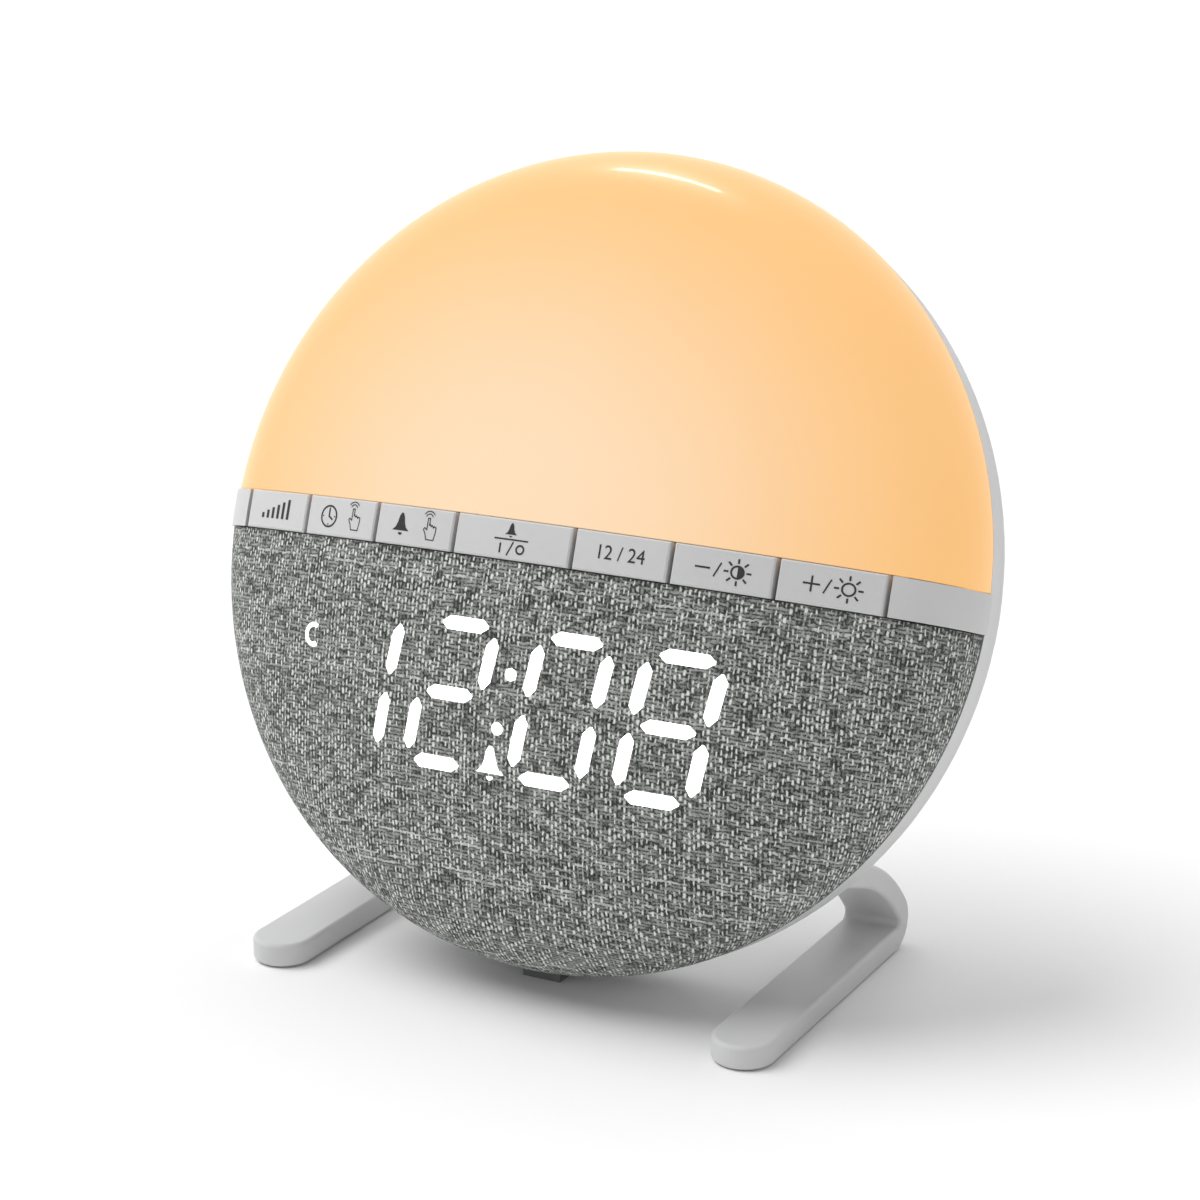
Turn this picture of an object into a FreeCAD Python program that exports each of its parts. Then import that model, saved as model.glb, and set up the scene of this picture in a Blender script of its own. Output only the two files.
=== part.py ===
import FreeCAD, Part
import Sketcher
import math
import os

# Sunrise alarm clock: a round face that leans back on two C-shaped legs.
# The face pieces are drawn in the face's own frame: x to the right, y up the
# face, z out of the face, with z = 0 on the seam between front and rear cover.
# A placement then tilts them back and lifts them above the table.

SIZES = {
    # Front dome
    "seam_radius": 84.0,
    "cap_radius": 162.6,
    "shoulder_radius": 23.9,
    "tilt_back": 19.8,
    "rim_lift": 3.366,
    "seam_gap": 0.25,
    "diffuser_wall": 2.2,
    "shell_wall": 2.2,
    "fabric_thick": 0.8,
    "inner_gap": 0.3,
    # Rear cover
    "rim_depth": 8.0,
    "rim_taper": 1.0,
    "rear_depth": 20.0,
    "cover_wall": 2.5,
    "lip_depth": 2.5,
    "lip_wall": 1.9,
    "lip_shelf": 1.5,
    "lip_gap": 0.15,
    # Key strip
    "strip_half": 3.9,
    "strip_proud": 0.5,
    "strip_gap": 0.25,
    "rail_wall": 1.5,
    "centre_key_half": 13.0,
    "end_panel": 12.5,
    "key_groove": 0.9,
    "key_thick": 2.5,
    "key_bevel": 0.3,
    "key_travel": 0.5,
    "stem_wide": 6.0,
    "stem_high": 3.4,
    "stem_gap": 0.2,
    "barb": 0.6,
    "barb_tall": 0.6,
    "bar_floor": 16.0,
    "bar_floor_thick": 1.4,
    # Key board and switches
    "key_board_front": 10.0,
    "key_board_thick": 1.2,
    "key_board_inset": 2.5,
    "key_board_high": 5.2,
    "switch_side": 6.0,
    "switch_tall": 3.5,
    "plunger_radius": 1.7,
    "plunger_proud": 1.4,
    "plunger_deep": 1.6,
    "running_gap": 0.05,
    # Light side
    "reflector_thick": 1.6,
    "bulkhead_low": 6.1,
    "bulkhead_wall": 1.5,
    "light_board_inset": 20.0,
    "light_board_thick": 1.5,
    "lamp_long": 3.5,
    "lamp_wide": 2.8,
    "lamp_tall": 0.8,
    "lamp_rise": 2.0,
    "lamp_first_turn": 22.0,
    # Display, whose places and digits are shares of the seam's radius
    "display_aside": 0.02083,
    "display_side": 10.15,
    "display_margin": 2.4,
    "display_clear": 1.0,
    "board_thick": 1.6,
    "digit_step": 0.26071,
    "colon_step": 0.2869,
    "digit_down": 0.37024,
    "digit_tall": 0.35357,
    "digit_broad": 0.1881,
    "digit_slant": 10.0,
    "segment_wide": 2.2,
    "segment_gap": 1.4,
    "segment_fit": 0.05,
    "window_sink": 0.15,
    "colon_rise": 5.4,
    "colon_radius": 1.2,
    "bell_down": 12.3,
    "bell_radius": 2.2,
    "night_out": 48.0,
    "night_down": 23.5,
    "night_radius": 2.4,
    "display_lamp_half": 0.8,
    "lamp_clearance": 0.2,
    "display_ear": 6.0,
    "display_ear_high": 4.0,
    "display_screw_bite": 4.0,
    # Case screws and their columns
    "top_screw_inset": 13.3,
    "top_screw_turn": 45.0,
    "low_screw_inset": 18.0,
    "low_screw_turn": 65.0,
    "column_radius": 3.8,
    "boss_radius": 3.2,
    "boss_tall": 6.0,
    "screw_radius": 1.45,
    "screw_hole": 1.7,
    "screw_head": 2.8,
    "screw_head_tall": 1.8,
    "counterbore": 3.0,
    "counterbore_deep": 6.0,
    # Main board, half as wide and as high above the centre as these shares of the seam's radius
    "main_wide_share": 0.47619,
    "main_high_share": 0.52381,
    "main_low": -4.0,
    "main_front": -4.4,
    "post_radius": 2.6,
    "pilot_gap": 0.05,
    "pilot_spare": 1.0,
    "board_hole_gap": 0.2,
    "screw_inset": 4.0,
    "board_screw_bite": 5.0,
    "small_screw": 1.0,
    "small_head": 2.0,
    "small_head_tall": 1.2,
    # Power inlet
    "jack_up": 6.0,
    "jack_side": 10.0,
    "jack_nose": 4.0,
    "jack_bore": 2.8,
    "jack_pin": 1.0,
    "jack_deep": 9.5,
    "jack_gap": 0.2,
    # Speaker
    "speaker_down_share": 0.45238,
    "speaker_share": 0.2381,
    "speaker_flange": 1.2,
    "speaker_deep": 11.0,
    "speaker_head": 3.0,
    "speaker_boss": 2.2,
    "speaker_hub": 3.0,
    "basket_gap": 1.0,
    "ring_wide": 3.0,
    "cone_inset": 4.0,
    "cone_hub": 4.2,
    "cone_deep": 4.0,
    "cone_thick": 0.4,
    "lead_radius": 0.5,
    "lead_apart": 2.0,
    "lead_gap": 0.2,
    "magnet_radius": 9.5,
    "magnet_tall": 4.5,
    "gasket_thick": 0.8,
    "speaker_seat": 0.5,
    "grille_hole": 1.1,
    "grille_pitch": 3.6,
    # Back-up cell, placed by shares of the seam's radius
    "cell_out_share": 0.44048,
    "cell_down_share": 0.29762,
    "cell_radius": 10.0,
    "cell_thick": 3.2,
    "bay_half": 11.5,
    "bay_wall": 1.4,
    "bay_deep": 8.5,
    "door_rim": 2.0,
    "door_thick": 1.6,
    "door_gap": 0.3,
    "prong_long": 3.0,
    "prong_half": 4.0,
    "prong_thick": 1.2,
    "contact_thick": 0.3,
    "contact_half": 4.0,
    "contact_reach": 9.0,
    "contact_gap": 0.1,
    "side_contact_half": 3.0,
    # Legs
    "leg_share": 0.703,
    "leg_wide": 12.8,
    "leg_thick": 5.0,
    "leg_round": 0.9,
    "leg_reach": 46.3,
    "leg_heel": 27.8,
    "heel_radius": 6.2,
    "heel_turn": 130.0,
    "arm_radius": 50.0,
    "pad_proud": 0.25,
    "pad_inset": 3.0,
    "pad_sink": 0.8,
    "pad_gap": 0.1,
    "seat_gap": 0.05,
    "tenon_wide": 8.0,
    "tenon_thick": 2.8,
    "tenon_end": 9.0,
    "tenon_gap": 0.1,
    "socket_wall": 1.6,
    # Centre foot
    "foot_half": 4.3,
    "foot_behind": 3.55,
    "foot_long": 6.5,
    "foot_cover": 1.134,
    # Ribbons
    "ribbon_thick": 0.3,
    "ribbon_rise": 1.1,
    "display_ribbon_half": 8.0,
    "display_ribbon_down": 20.0,
    "display_ribbon_end": 1.0,
    "key_ribbon_share": 0.4,
    "key_ribbon_wide": 14.0,
    "light_ribbon_inset": 6.0,
    "light_ribbon_wide": 10.0,
    "light_ribbon_up": 15.0,
    "light_board_gap": 1.5,
}

doc = FreeCAD.newDocument("sunrise_alarm_clock")
sheet = doc.addObject("Spreadsheet::Sheet", "Sizes")
for row, (alias, number) in enumerate(SIZES.items(), start=1):
    sheet.set("A%d" % row, alias)
    sheet.set("B%d" % row, str(number))
    sheet.setAlias("B%d" % row, alias)
doc.recompute()


class Size:
    """A number that also knows its formula in the sheet."""

    def __init__(self, number, formula):
        self.number = float(number)
        self.formula = formula

    def __add__(self, other):
        other = as_size(other)
        return Size(self.number + other.number, "(%s + %s)" % (self.formula, other.formula))

    def __radd__(self, other):
        return as_size(other) + self

    def __sub__(self, other):
        other = as_size(other)
        return Size(self.number - other.number, "(%s - %s)" % (self.formula, other.formula))

    def __rsub__(self, other):
        return as_size(other) - self

    def __mul__(self, other):
        other = as_size(other)
        return Size(self.number * other.number, "(%s * %s)" % (self.formula, other.formula))

    def __rmul__(self, other):
        return as_size(other) * self

    def __truediv__(self, other):
        other = as_size(other)
        return Size(self.number / other.number, "(%s / %s)" % (self.formula, other.formula))

    def __rtruediv__(self, other):
        return as_size(other) / self

    def __neg__(self):
        return Size(-self.number, "(0 - %s)" % self.formula)


def as_size(value):
    if isinstance(value, Size):
        return value
    return Size(value, "(%.9g)" % value)


def root(size):
    return Size(math.sqrt(size.number), "sqrt(%s)" % size.formula)


def sine(degrees):
    return Size(math.sin(math.radians(degrees.number)), "sin(%s)" % degrees.formula)


def cosine(degrees):
    return Size(math.cos(math.radians(degrees.number)), "cos(%s)" % degrees.formula)


class Named:
    """Each value of the sheet, as a Size under its own name."""

    def __init__(self):
        for alias in SIZES:
            setattr(self, alias, Size(sheet.get(alias), "Sizes.%s" % alias))


of = Named()

# Worked out from the sizes above

lean_sin = sine(of.tilt_back)
lean_cos = cosine(of.tilt_back)
join_sin = (of.seam_radius - of.shoulder_radius) / (of.cap_radius - of.shoulder_radius)
join_cos = root(1 - join_sin * join_sin)
cap_centre = (of.shoulder_radius - of.cap_radius) * join_cos
shoulder_centre = of.seam_radius - of.shoulder_radius
centre_height = of.seam_radius * lean_cos + of.rim_lift

rim_back = -of.rim_depth
cover_back = -of.rear_depth
cover_round = of.rear_depth - of.rim_depth
rim_rear_radius = of.seam_radius - of.rim_taper
flat_radius = rim_rear_radius - cover_round
cover_floor = cover_back + of.cover_wall

face_back = flat_radius * lean_sin + of.rim_depth * lean_cos + cover_round
face_forward = (of.leg_reach - face_back) / 2

strip_end = of.seam_radius - of.end_panel
key_pitch = (strip_end - of.centre_key_half) / 3
key_board_half = strip_end - of.key_board_inset
light_board_radius = of.seam_radius - of.light_board_inset

digit_pitch = of.seam_radius * of.digit_step
colon_pitch = of.seam_radius * of.colon_step
digit_middle = -(of.seam_radius * of.digit_down)
digit_high = of.seam_radius * of.digit_tall
digit_wide = of.seam_radius * of.digit_broad
display_middle = of.seam_radius * of.display_aside
display_half = colon_pitch / 2 + digit_pitch + digit_wide / 2 + of.display_side
display_top = digit_middle + digit_high / 2 + of.display_margin
display_low = digit_middle - digit_high / 2 - of.display_margin
display_ear_half = display_half + of.display_ear

main_half = of.seam_radius * of.main_wide_share
main_high = of.seam_radius * of.main_high_share
speaker_down = of.seam_radius * of.speaker_down_share
speaker_radius = of.seam_radius * of.speaker_share
cell_out = of.seam_radius * of.cell_out_share
cell_down = of.seam_radius * of.cell_down_share
leg_outer = of.seam_radius * of.leg_share
foot_front = of.seam_radius * lean_sin - of.foot_behind
foot_top = of.rim_lift + of.foot_cover


def shoulder_at(height, offset=0):
    """Radius of the front's shoulder at a height above the seam plane."""
    arc = of.shoulder_radius + offset
    return shoulder_centre + root(arc * arc - as_size(height) * height)


def shoulder_height(radius, offset=0):
    """Height of the front's shoulder above the seam plane at a radius."""
    arc = of.shoulder_radius + offset
    past = radius - shoulder_centre
    return root(arc * arc - past * past)


def dome_height(radius, offset=0):
    """Height of the front's cap above the seam plane, inside its joint with the shoulder."""
    cap = of.cap_radius + offset
    return cap_centre + root(cap * cap - as_size(radius) * radius)


# Helpers that draw bound sketches and features


def plane_of(body, role):
    for feature in body.Origin.OriginFeatures:
        if feature.Role == role:
            return feature
    raise ValueError(role)


def on_face(thing):
    """Put a piece drawn in the face's frame onto the leaning face."""
    thing.setExpression(".Placement.Base.y", face_forward.formula)
    thing.setExpression(".Placement.Base.z", centre_height.formula)
    thing.setExpression(".Placement.Rotation.Axis.x", "1")
    thing.setExpression(".Placement.Rotation.Axis.z", "0")
    thing.setExpression(".Placement.Rotation.Angle", "90 - Sizes.tilt_back")
    return thing


def new_body(label, leaning=True):
    body = doc.addObject("PartDesign::Body", label)
    body.Label = label
    if leaning:
        on_face(body)
    return body


def new_sketch(body, role, height):
    sketch = body.newObject("Sketcher::SketchObject", body.Name + "_sketch")
    sketch.AttachmentSupport = [(plane_of(body, role), "")]
    sketch.MapMode = "FlatFace"
    sketch.setExpression(".AttachmentOffset.Base.z", as_size(height).formula)
    return sketch


def bind(sketch, kind, *place, to):
    number = sketch.addConstraint(Sketcher.Constraint(kind, *place, to.number))
    sketch.setExpression("Constraints[%d]" % number, to.formula)


def arc_geometry(start, end, radius, bulge_left):
    """Arc of under half a turn from start to end; bulge_left puts its centre on the right."""
    middle = (start + end) * 0.5
    chord = end - start
    side = FreeCAD.Vector(chord.y, -chord.x, 0).normalize()
    if not bulge_left:
        side = side * -1
    reach = math.sqrt(radius * radius - chord.Length * chord.Length / 4)
    centre = middle + side * reach
    angle_start = math.atan2(start.y - centre.y, start.x - centre.x)
    angle_end = math.atan2(end.y - centre.y, end.x - centre.x)
    circle = Part.Circle(centre, FreeCAD.Vector(0, 0, 1), radius)
    if bulge_left:
        return Part.ArcOfCircle(circle, angle_end, angle_start), True
    return Part.ArcOfCircle(circle, angle_start, angle_end), False


def draw_outline(sketch, corners):
    """Closed outline. A corner is (x, y), or (x, y, radius, side) where an arc leads on from it."""
    spots = [(as_size(corner[0]), as_size(corner[1])) for corner in corners]
    points = [FreeCAD.Vector(x.number, y.number, 0) for x, y in spots]
    first = sketch.GeometryCount
    ends = []
    for index, corner in enumerate(corners):
        start = points[index]
        end = points[(index + 1) % len(points)]
        flipped = False
        if len(corner) > 2:
            arc, flipped = arc_geometry(start, end, as_size(corner[2]).number, corner[3] == "left")
            sketch.addGeometry(arc, False)
        else:
            sketch.addGeometry(Part.LineSegment(start, end), False)
        ends.append((2, 1) if flipped else (1, 2))
    count = len(corners)
    for index in range(count):
        following = (index + 1) % count
        sketch.addConstraint(Sketcher.Constraint(
            "Coincident", first + index, ends[index][1], first + following, ends[following][0]))
    for index, (x, y) in enumerate(spots):
        bind(sketch, "DistanceX", -1, 1, first + index, ends[index][0], to=x)
        bind(sketch, "DistanceY", -1, 1, first + index, ends[index][0], to=y)
        if len(corners[index]) > 2:
            bind(sketch, "Radius", first + index, to=as_size(corners[index][2]))


def draw_circle(sketch, x, y, radius):
    x = as_size(x)
    y = as_size(y)
    radius = as_size(radius)
    circle = Part.Circle(FreeCAD.Vector(x.number, y.number, 0), FreeCAD.Vector(0, 0, 1), radius.number)
    number = sketch.addGeometry(circle, False)
    bind(sketch, "DistanceX", -1, 1, number, 3, to=x)
    bind(sketch, "DistanceY", -1, 1, number, 3, to=y)
    bind(sketch, "Radius", number, to=radius)


def box(left, right, low, high):
    return [(left, low), (right, low), (right, high), (left, high)]


def rounded_box(left, right, low, high, radius):
    return [
        (left + radius, low), (right - radius, low, radius, "right"),
        (right, low + radius), (right, high - radius, radius, "right"),
        (right - radius, high), (left + radius, high, radius, "right"),
        (left, high - radius), (left, low + radius, radius, "right"),
    ]


def circles(spots, radius):
    return [(x, y, radius) for x, y in spots]


def extruded(body, kind, shapes, bottom, top, role="XY_Plane"):
    bottom = as_size(bottom)
    top = as_size(top)
    sketch = new_sketch(body, role, bottom)
    for shape in shapes:
        if isinstance(shape, tuple):
            draw_circle(sketch, *shape)
        else:
            draw_outline(sketch, shape)
    feature = body.newObject(kind, body.Name + "_feature")
    feature.Profile = sketch
    feature.setExpression("Length", (top - bottom).formula)
    if kind == "PartDesign::Pocket":
        feature.Reversed = True
    return feature


def pad(body, shapes, bottom, top, role="XY_Plane"):
    return extruded(body, "PartDesign::Pad", shapes, bottom, top, role)


def pocket(body, shapes, bottom, top, role="XY_Plane"):
    return extruded(body, "PartDesign::Pocket", shapes, bottom, top, role)


def turned(body, kind, corners, axis_down=0):
    """Turn an outline of (radius, height) corners about an axis out of the face."""
    sketch = new_sketch(body, "XZ_Plane", axis_down)
    draw_outline(sketch, corners)
    feature = body.newObject(kind, body.Name + "_turned")
    feature.Profile = sketch
    feature.ReferenceAxis = (sketch, ["V_Axis"])
    feature.Angle = 360
    return feature


def solid_of_turn(body, corners, axis_down=0):
    return turned(body, "PartDesign::Revolution", corners, axis_down)


def turned_cut(body, corners):
    return turned(body, "PartDesign::Groove", corners)


def ease_edges(body, kind, size_name, names, size):
    """Round or bevel the named edges of the body's last feature."""
    base = body.Tip
    feature = body.newObject(kind, body.Name + "_eased")
    feature.Base = (base, names)
    feature.setExpression(size_name, as_size(size).formula)


def fillet(body, names, radius):
    ease_edges(body, "PartDesign::Fillet", "Radius", names, radius)


def bevel_top(body, size):
    """Bevel the edges round a domed face that stands on flat sides."""
    doc.recompute()
    shape = body.Tip.Shape
    faces = [face for face in shape.Faces if not isinstance(face.Surface, Part.Plane)]
    names = []
    for number, edge in enumerate(shape.Edges, start=1):
        touching = [face for face in faces if any(edge.isSame(other) for other in face.Edges)]
        if len(touching) == 1:
            names.append("Edge%d" % number)
    ease_edges(body, "PartDesign::Chamfer", "Size", names, size)


def dome_corners(offset):
    """Seam edge, joint and top of the dome, at an offset outward from the front's surface."""
    seam = (of.seam_radius + offset, 0, of.shoulder_radius + offset, "right")
    reach = of.cap_radius + offset
    joint = (reach * join_sin, cap_centre + reach * join_cos, reach, "right")
    top = (0, cap_centre + reach)
    return seam, joint, top


def cut_above_dome(body, offset):
    """Take away all that stands above the dome at this offset."""
    seam, joint, top = dome_corners(offset)
    far = of.seam_radius + 20
    high = of.seam_radius
    turned_cut(body, [seam, joint, top, (0, high), (far, high), (far, 0)])


def cut_above_cap(body, offset):
    """The same for keys, by the cap's sphere alone, turned about an axis across the face."""
    reach = of.cap_radius + offset
    half = of.seam_radius
    rise = root(reach * reach - half * half)
    sketch = new_sketch(body, "XZ_Plane", 0)
    sketch.setExpression(".AttachmentOffset.Base.y", cap_centre.formula)
    top = reach + half
    draw_outline(sketch, [(-half, rise, reach, "left"), (half, rise), (half, top), (-half, top)])
    feature = body.newObject("PartDesign::Groove", body.Name + "_topped")
    feature.Profile = sketch
    feature.ReferenceAxis = (sketch, ["H_Axis"])
    feature.Angle = 360


def cut_under_dome(body, offset, low):
    """Take away all from the height low up to the dome at this offset."""
    seam, joint, top = dome_corners(offset)
    arc = of.shoulder_radius + offset
    turned_cut(body, [(0, low), (shoulder_at(low, offset), low, arc, "right"), joint, top])


def copies(label, shapes):
    """A group of separate alike solids under one name."""
    group = doc.addObject("Part::Feature", label)
    group.Label = label
    group.Shape = Part.makeCompound(shapes)
    on_face(group)
    return group


def rod(x, y, radius, bottom, top):
    return Part.makeCylinder(
        as_size(radius).number, (as_size(top) - bottom).number,
        FreeCAD.Vector(as_size(x).number, as_size(y).number, as_size(bottom).number))


def brick(left, right, low, high, bottom, top):
    corner = [as_size(value).number for value in (left, low, bottom)]
    spans = [(as_size(end) - start).number for start, end in ((left, right), (low, high), (bottom, top))]
    return Part.makeBox(*spans, FreeCAD.Vector(*corner))


def screw(x, y, head_radius, head_tall, radius, head_low, tip, head_first=True):
    """Pan-head screw along the face's depth, its head resting at head_low and its tip at tip."""
    if head_first:
        head = rod(x, y, head_radius, head_low - head_tall, head_low)
        shank = rod(x, y, radius, head_low, tip)
    else:
        head = rod(x, y, head_radius, head_low, head_low + head_tall)
        shank = rod(x, y, radius, tip, head_low)
    return head.fuse(shank).removeSplitter()


# Front pieces

strip_edge = of.strip_half + of.strip_gap
wide = of.seam_radius + 5
everywhere = of.seam_radius + 20
high_up = of.seam_radius
lip_outer = of.seam_radius - of.cover_wall - of.rim_taper * of.lip_depth / of.rim_depth - of.lip_gap
lip_inner = lip_outer - of.lip_wall
shell_inside = -(of.fabric_thick + of.shell_wall)


display_left = display_middle - display_half
display_right = display_middle + display_half
display_ear_middle = (display_low + display_top) / 2
display_screw_spots = [
    (display_middle + side * (display_ear_half - of.post_radius), display_ear_middle)
    for side in (-1, 1)
]
corner_out = display_half + display_middle
display_corner = root(corner_out * corner_out + display_low * display_low)
display_board_front = shoulder_height(display_corner, shell_inside) - of.display_clear
display_board_back = display_board_front - of.board_thick
display_screw_tip = display_board_front + of.display_screw_bite
column_top = -of.reflector_thick
case_head_seat = cover_back + of.counterbore_deep
case_screw_tip = of.boss_tall - 2 * of.pilot_spare
small_pilot = of.small_screw + of.pilot_gap
case_pilot = of.screw_radius + of.pilot_gap
board_hole = of.small_screw + of.board_hole_gap
low_ring = of.seam_radius - of.low_screw_inset
top_ring = of.seam_radius - of.top_screw_inset
low_screws = [(side * low_ring * cosine(of.low_screw_turn), -(low_ring * sine(of.low_screw_turn)))
              for side in (-1, 1)]
top_screws = [(side * top_ring * cosine(of.top_screw_turn), top_ring * sine(of.top_screw_turn))
              for side in (-1, 1)]


def dome_shell(body, offset, wall):
    """Dome wall with a shelf and a lip that drops inside the rear cover's rim."""
    outer = of.cap_radius + offset
    inner = outer - wall
    arc = of.shoulder_radius + offset
    shelf = of.seam_gap + of.lip_shelf
    solid_of_turn(body, [
        (shoulder_at(of.seam_gap, offset), of.seam_gap, arc, "right"),
        (outer * join_sin, cap_centre + outer * join_cos, outer, "right"),
        (0, cap_centre + outer),
        (0, cap_centre + inner, inner, "left"),
        (inner * join_sin, cap_centre + inner * join_cos, arc - wall, "left"),
        (shoulder_at(shelf, offset - wall), shelf),
        (lip_inner, shelf),
        (lip_inner, -of.lip_depth),
        (lip_outer, -of.lip_depth),
        (lip_outer, of.seam_gap),
    ])


def make_diffuser():
    body = new_body("diffuser")
    dome_shell(body, 0, of.diffuser_wall)
    pocket(body, [box(-everywhere, everywhere, -everywhere, strip_edge)], -everywhere, everywhere)


def make_front_shell():
    body = new_body("front_shell")
    dome_shell(body, -of.fabric_thick, of.shell_wall)
    pad(body, circles(low_screws, of.boss_radius), column_top, high_up / 2)
    pad(body, circles(display_screw_spots, of.post_radius), display_board_front, high_up / 2)
    cut_above_dome(body, -of.fabric_thick)
    keep_low = -(strip_edge + of.fabric_thick)
    pocket(body, [box(-everywhere, everywhere, keep_low, everywhere)], -everywhere, everywhere)
    pocket(body, [box(display_left - of.inner_gap, display_right + of.inner_gap,
                      display_low - of.inner_gap, display_top + of.inner_gap)],
           display_board_front, everywhere)
    pocket(body, circles(low_screws, case_pilot), column_top, case_screw_tip + of.pilot_spare)
    pilots = circles(display_screw_spots, small_pilot)
    pocket(body, pilots, display_board_front, display_screw_tip + of.pilot_spare / 2)


def make_fabric_cover():
    body = new_body("fabric_cover")
    outer = of.cap_radius
    inner = outer - of.fabric_thick
    arc = of.shoulder_radius
    solid_of_turn(body, [
        (shoulder_at(of.seam_gap), of.seam_gap, arc, "right"),
        (outer * join_sin, cap_centre + outer * join_cos, outer, "right"),
        (0, cap_centre + outer),
        (0, cap_centre + inner, inner, "left"),
        (inner * join_sin, cap_centre + inner * join_cos, arc - of.fabric_thick, "left"),
        (shoulder_at(of.seam_gap, -of.fabric_thick), of.seam_gap),
    ])
    pocket(body, [box(-everywhere, everywhere, -strip_edge, everywhere)], -everywhere, everywhere)
    hem = box(-wide, wide, -(strip_edge + of.fabric_thick), -strip_edge)
    pad(body, [hem], of.seam_gap, high_up / 2)
    cut_above_dome(body, 0)
    cut_under_dome(body, shell_inside, of.seam_gap)


# Key strip

key_edges = [of.centre_key_half + key_pitch * step for step in range(4)]
half_groove = of.key_groove / 2
KEYS = ["brightness_key", "time_key", "alarm_key", "alarm_switch_key", "hour_mode_key",
        "minus_key", "plus_key"]
centre_key = len(KEYS) // 2


def key_span(place):
    """Left and right edge of a key, counted from the left."""
    step = place - centre_key
    if step == 0:
        return -of.centre_key_half + half_groove, of.centre_key_half - half_groove
    near = key_edges[abs(step) - 1] + half_groove
    far = key_edges[abs(step)] - half_groove
    if step > 0:
        return near, far
    return -far, -near


def key_middle(place):
    left, right = key_span(place)
    return (left + right) / 2


stem_low = of.key_board_front + of.switch_tall + of.plunger_proud
floor_top = of.bar_floor + of.bar_floor_thick
rail_out = strip_edge + of.rail_wall
key_board_back = of.key_board_front - of.key_board_thick
key_screw_spots = [(side * edge, 0) for side in (-1, 1) for edge in (key_edges[0], key_edges[2])]
stem_half = of.stem_wide / 2
stem_side = of.stem_high / 2


def around(x, y, half_x, half_y):
    return box(x - half_x, x + half_x, y - half_y, y + half_y)


def make_control_bar():
    body = new_body("control_bar")
    pad(body, [box(-wide, wide, -rail_out, rail_out)], of.bar_floor, high_up / 2)
    cut_above_dome(body, shell_inside - of.inner_gap)
    keyway = strip_end + half_groove
    pocket(body, [box(-keyway, keyway, -strip_edge, strip_edge)], floor_top, everywhere)
    for side in (-1, 1):
        panel = sorted_box(side * keyway, side * wide, -of.strip_half, of.strip_half)
        pad(body, [panel], of.seam_gap, high_up / 2)
    cut_above_dome(body, of.strip_proud)
    for side in (-1, 1):
        tab = sorted_box(side * lip_inner, side * (lip_outer - of.seat_gap), -of.strip_half, of.strip_half)
        pad(body, [tab], -of.lip_depth, of.seam_gap + 1)
    holes = [around(key_middle(place), 0, stem_half + of.stem_gap, stem_side + of.stem_gap)
             for place in range(len(KEYS))]
    pocket(body, holes, of.bar_floor - 1, floor_top + 1)
    pad(body, circles(key_screw_spots, of.post_radius), of.key_board_front, of.bar_floor)
    pocket(body, circles(key_screw_spots, small_pilot), of.key_board_front, of.bar_floor - of.pilot_spare)


def sorted_box(one, other, low, high):
    if one.number < other.number:
        return box(one, other, low, high)
    return box(other, one, low, high)


def make_key(place, label):
    body = new_body(label)
    left, right = key_span(place)
    middle = key_middle(place)
    pad(body, [box(left, right, -of.strip_half, of.strip_half)], floor_top, high_up / 2)
    cut_above_cap(body, of.strip_proud)
    bevel_top(body, of.key_bevel)
    cut_under_dome(body, of.strip_proud - of.key_thick, of.bar_floor)
    stem_top = dome_height(middle, of.strip_proud - of.key_thick / 2)
    pad(body, [around(middle, 0, stem_half, stem_side)], stem_low, stem_top)
    barb_top = of.bar_floor - of.seat_gap
    pad(body, [around(middle, 0, stem_side, stem_side + of.barb)], barb_top - of.barb_tall, barb_top)


def make_plunger(place, label):
    body = new_body(label)
    low = of.key_board_front + of.switch_tall - of.plunger_deep
    pad(body, [(key_middle(place), 0, of.plunger_radius)], low, stem_low)


def make_key_board():
    body = new_body("key_board")
    pad(body, [box(-key_board_half, key_board_half, -of.key_board_high, of.key_board_high)],
        key_board_back, of.key_board_front)
    pocket(body, circles(key_screw_spots, board_hole), key_board_back - 1, of.key_board_front + 1)


def make_tact_switches():
    half = of.switch_side / 2
    top = of.key_board_front + of.switch_tall
    bore_low = top - of.plunger_deep - of.key_travel - 2 * of.running_gap
    switches = []
    for place in range(len(KEYS)):
        middle = key_middle(place)
        case = brick(middle - half, middle + half, -half, half, of.key_board_front, top)
        bore = rod(middle, 0, of.plunger_radius + of.running_gap, bore_low, top + 1)
        switches.append(case.cut(bore))
    copies("tact_switches", switches)


def make_key_board_screws():
    copies("key_board_screws", [
        screw(x, y, of.small_head, of.small_head_tall, of.small_screw, key_board_back,
              of.bar_floor - 2 * of.pilot_spare)
        for x, y in key_screw_spots])


# Light side

light_low = of.bulkhead_low + of.bulkhead_wall + of.light_board_gap
LAMP_RINGS = [(0.344, 4), (0.594, 7), (0.844, 10)]


def half_disc(radius, low):
    reach = root(radius * radius - as_size(low) * low)
    return [(-reach, low), (reach, low, radius, "right"), (0, radius, radius, "right")]


light_ribbon_left = of.light_ribbon_inset - main_half
light_ribbon_right = light_ribbon_left + of.light_ribbon_wide
light_ribbon_high = of.light_ribbon_up + of.ribbon_thick


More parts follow.
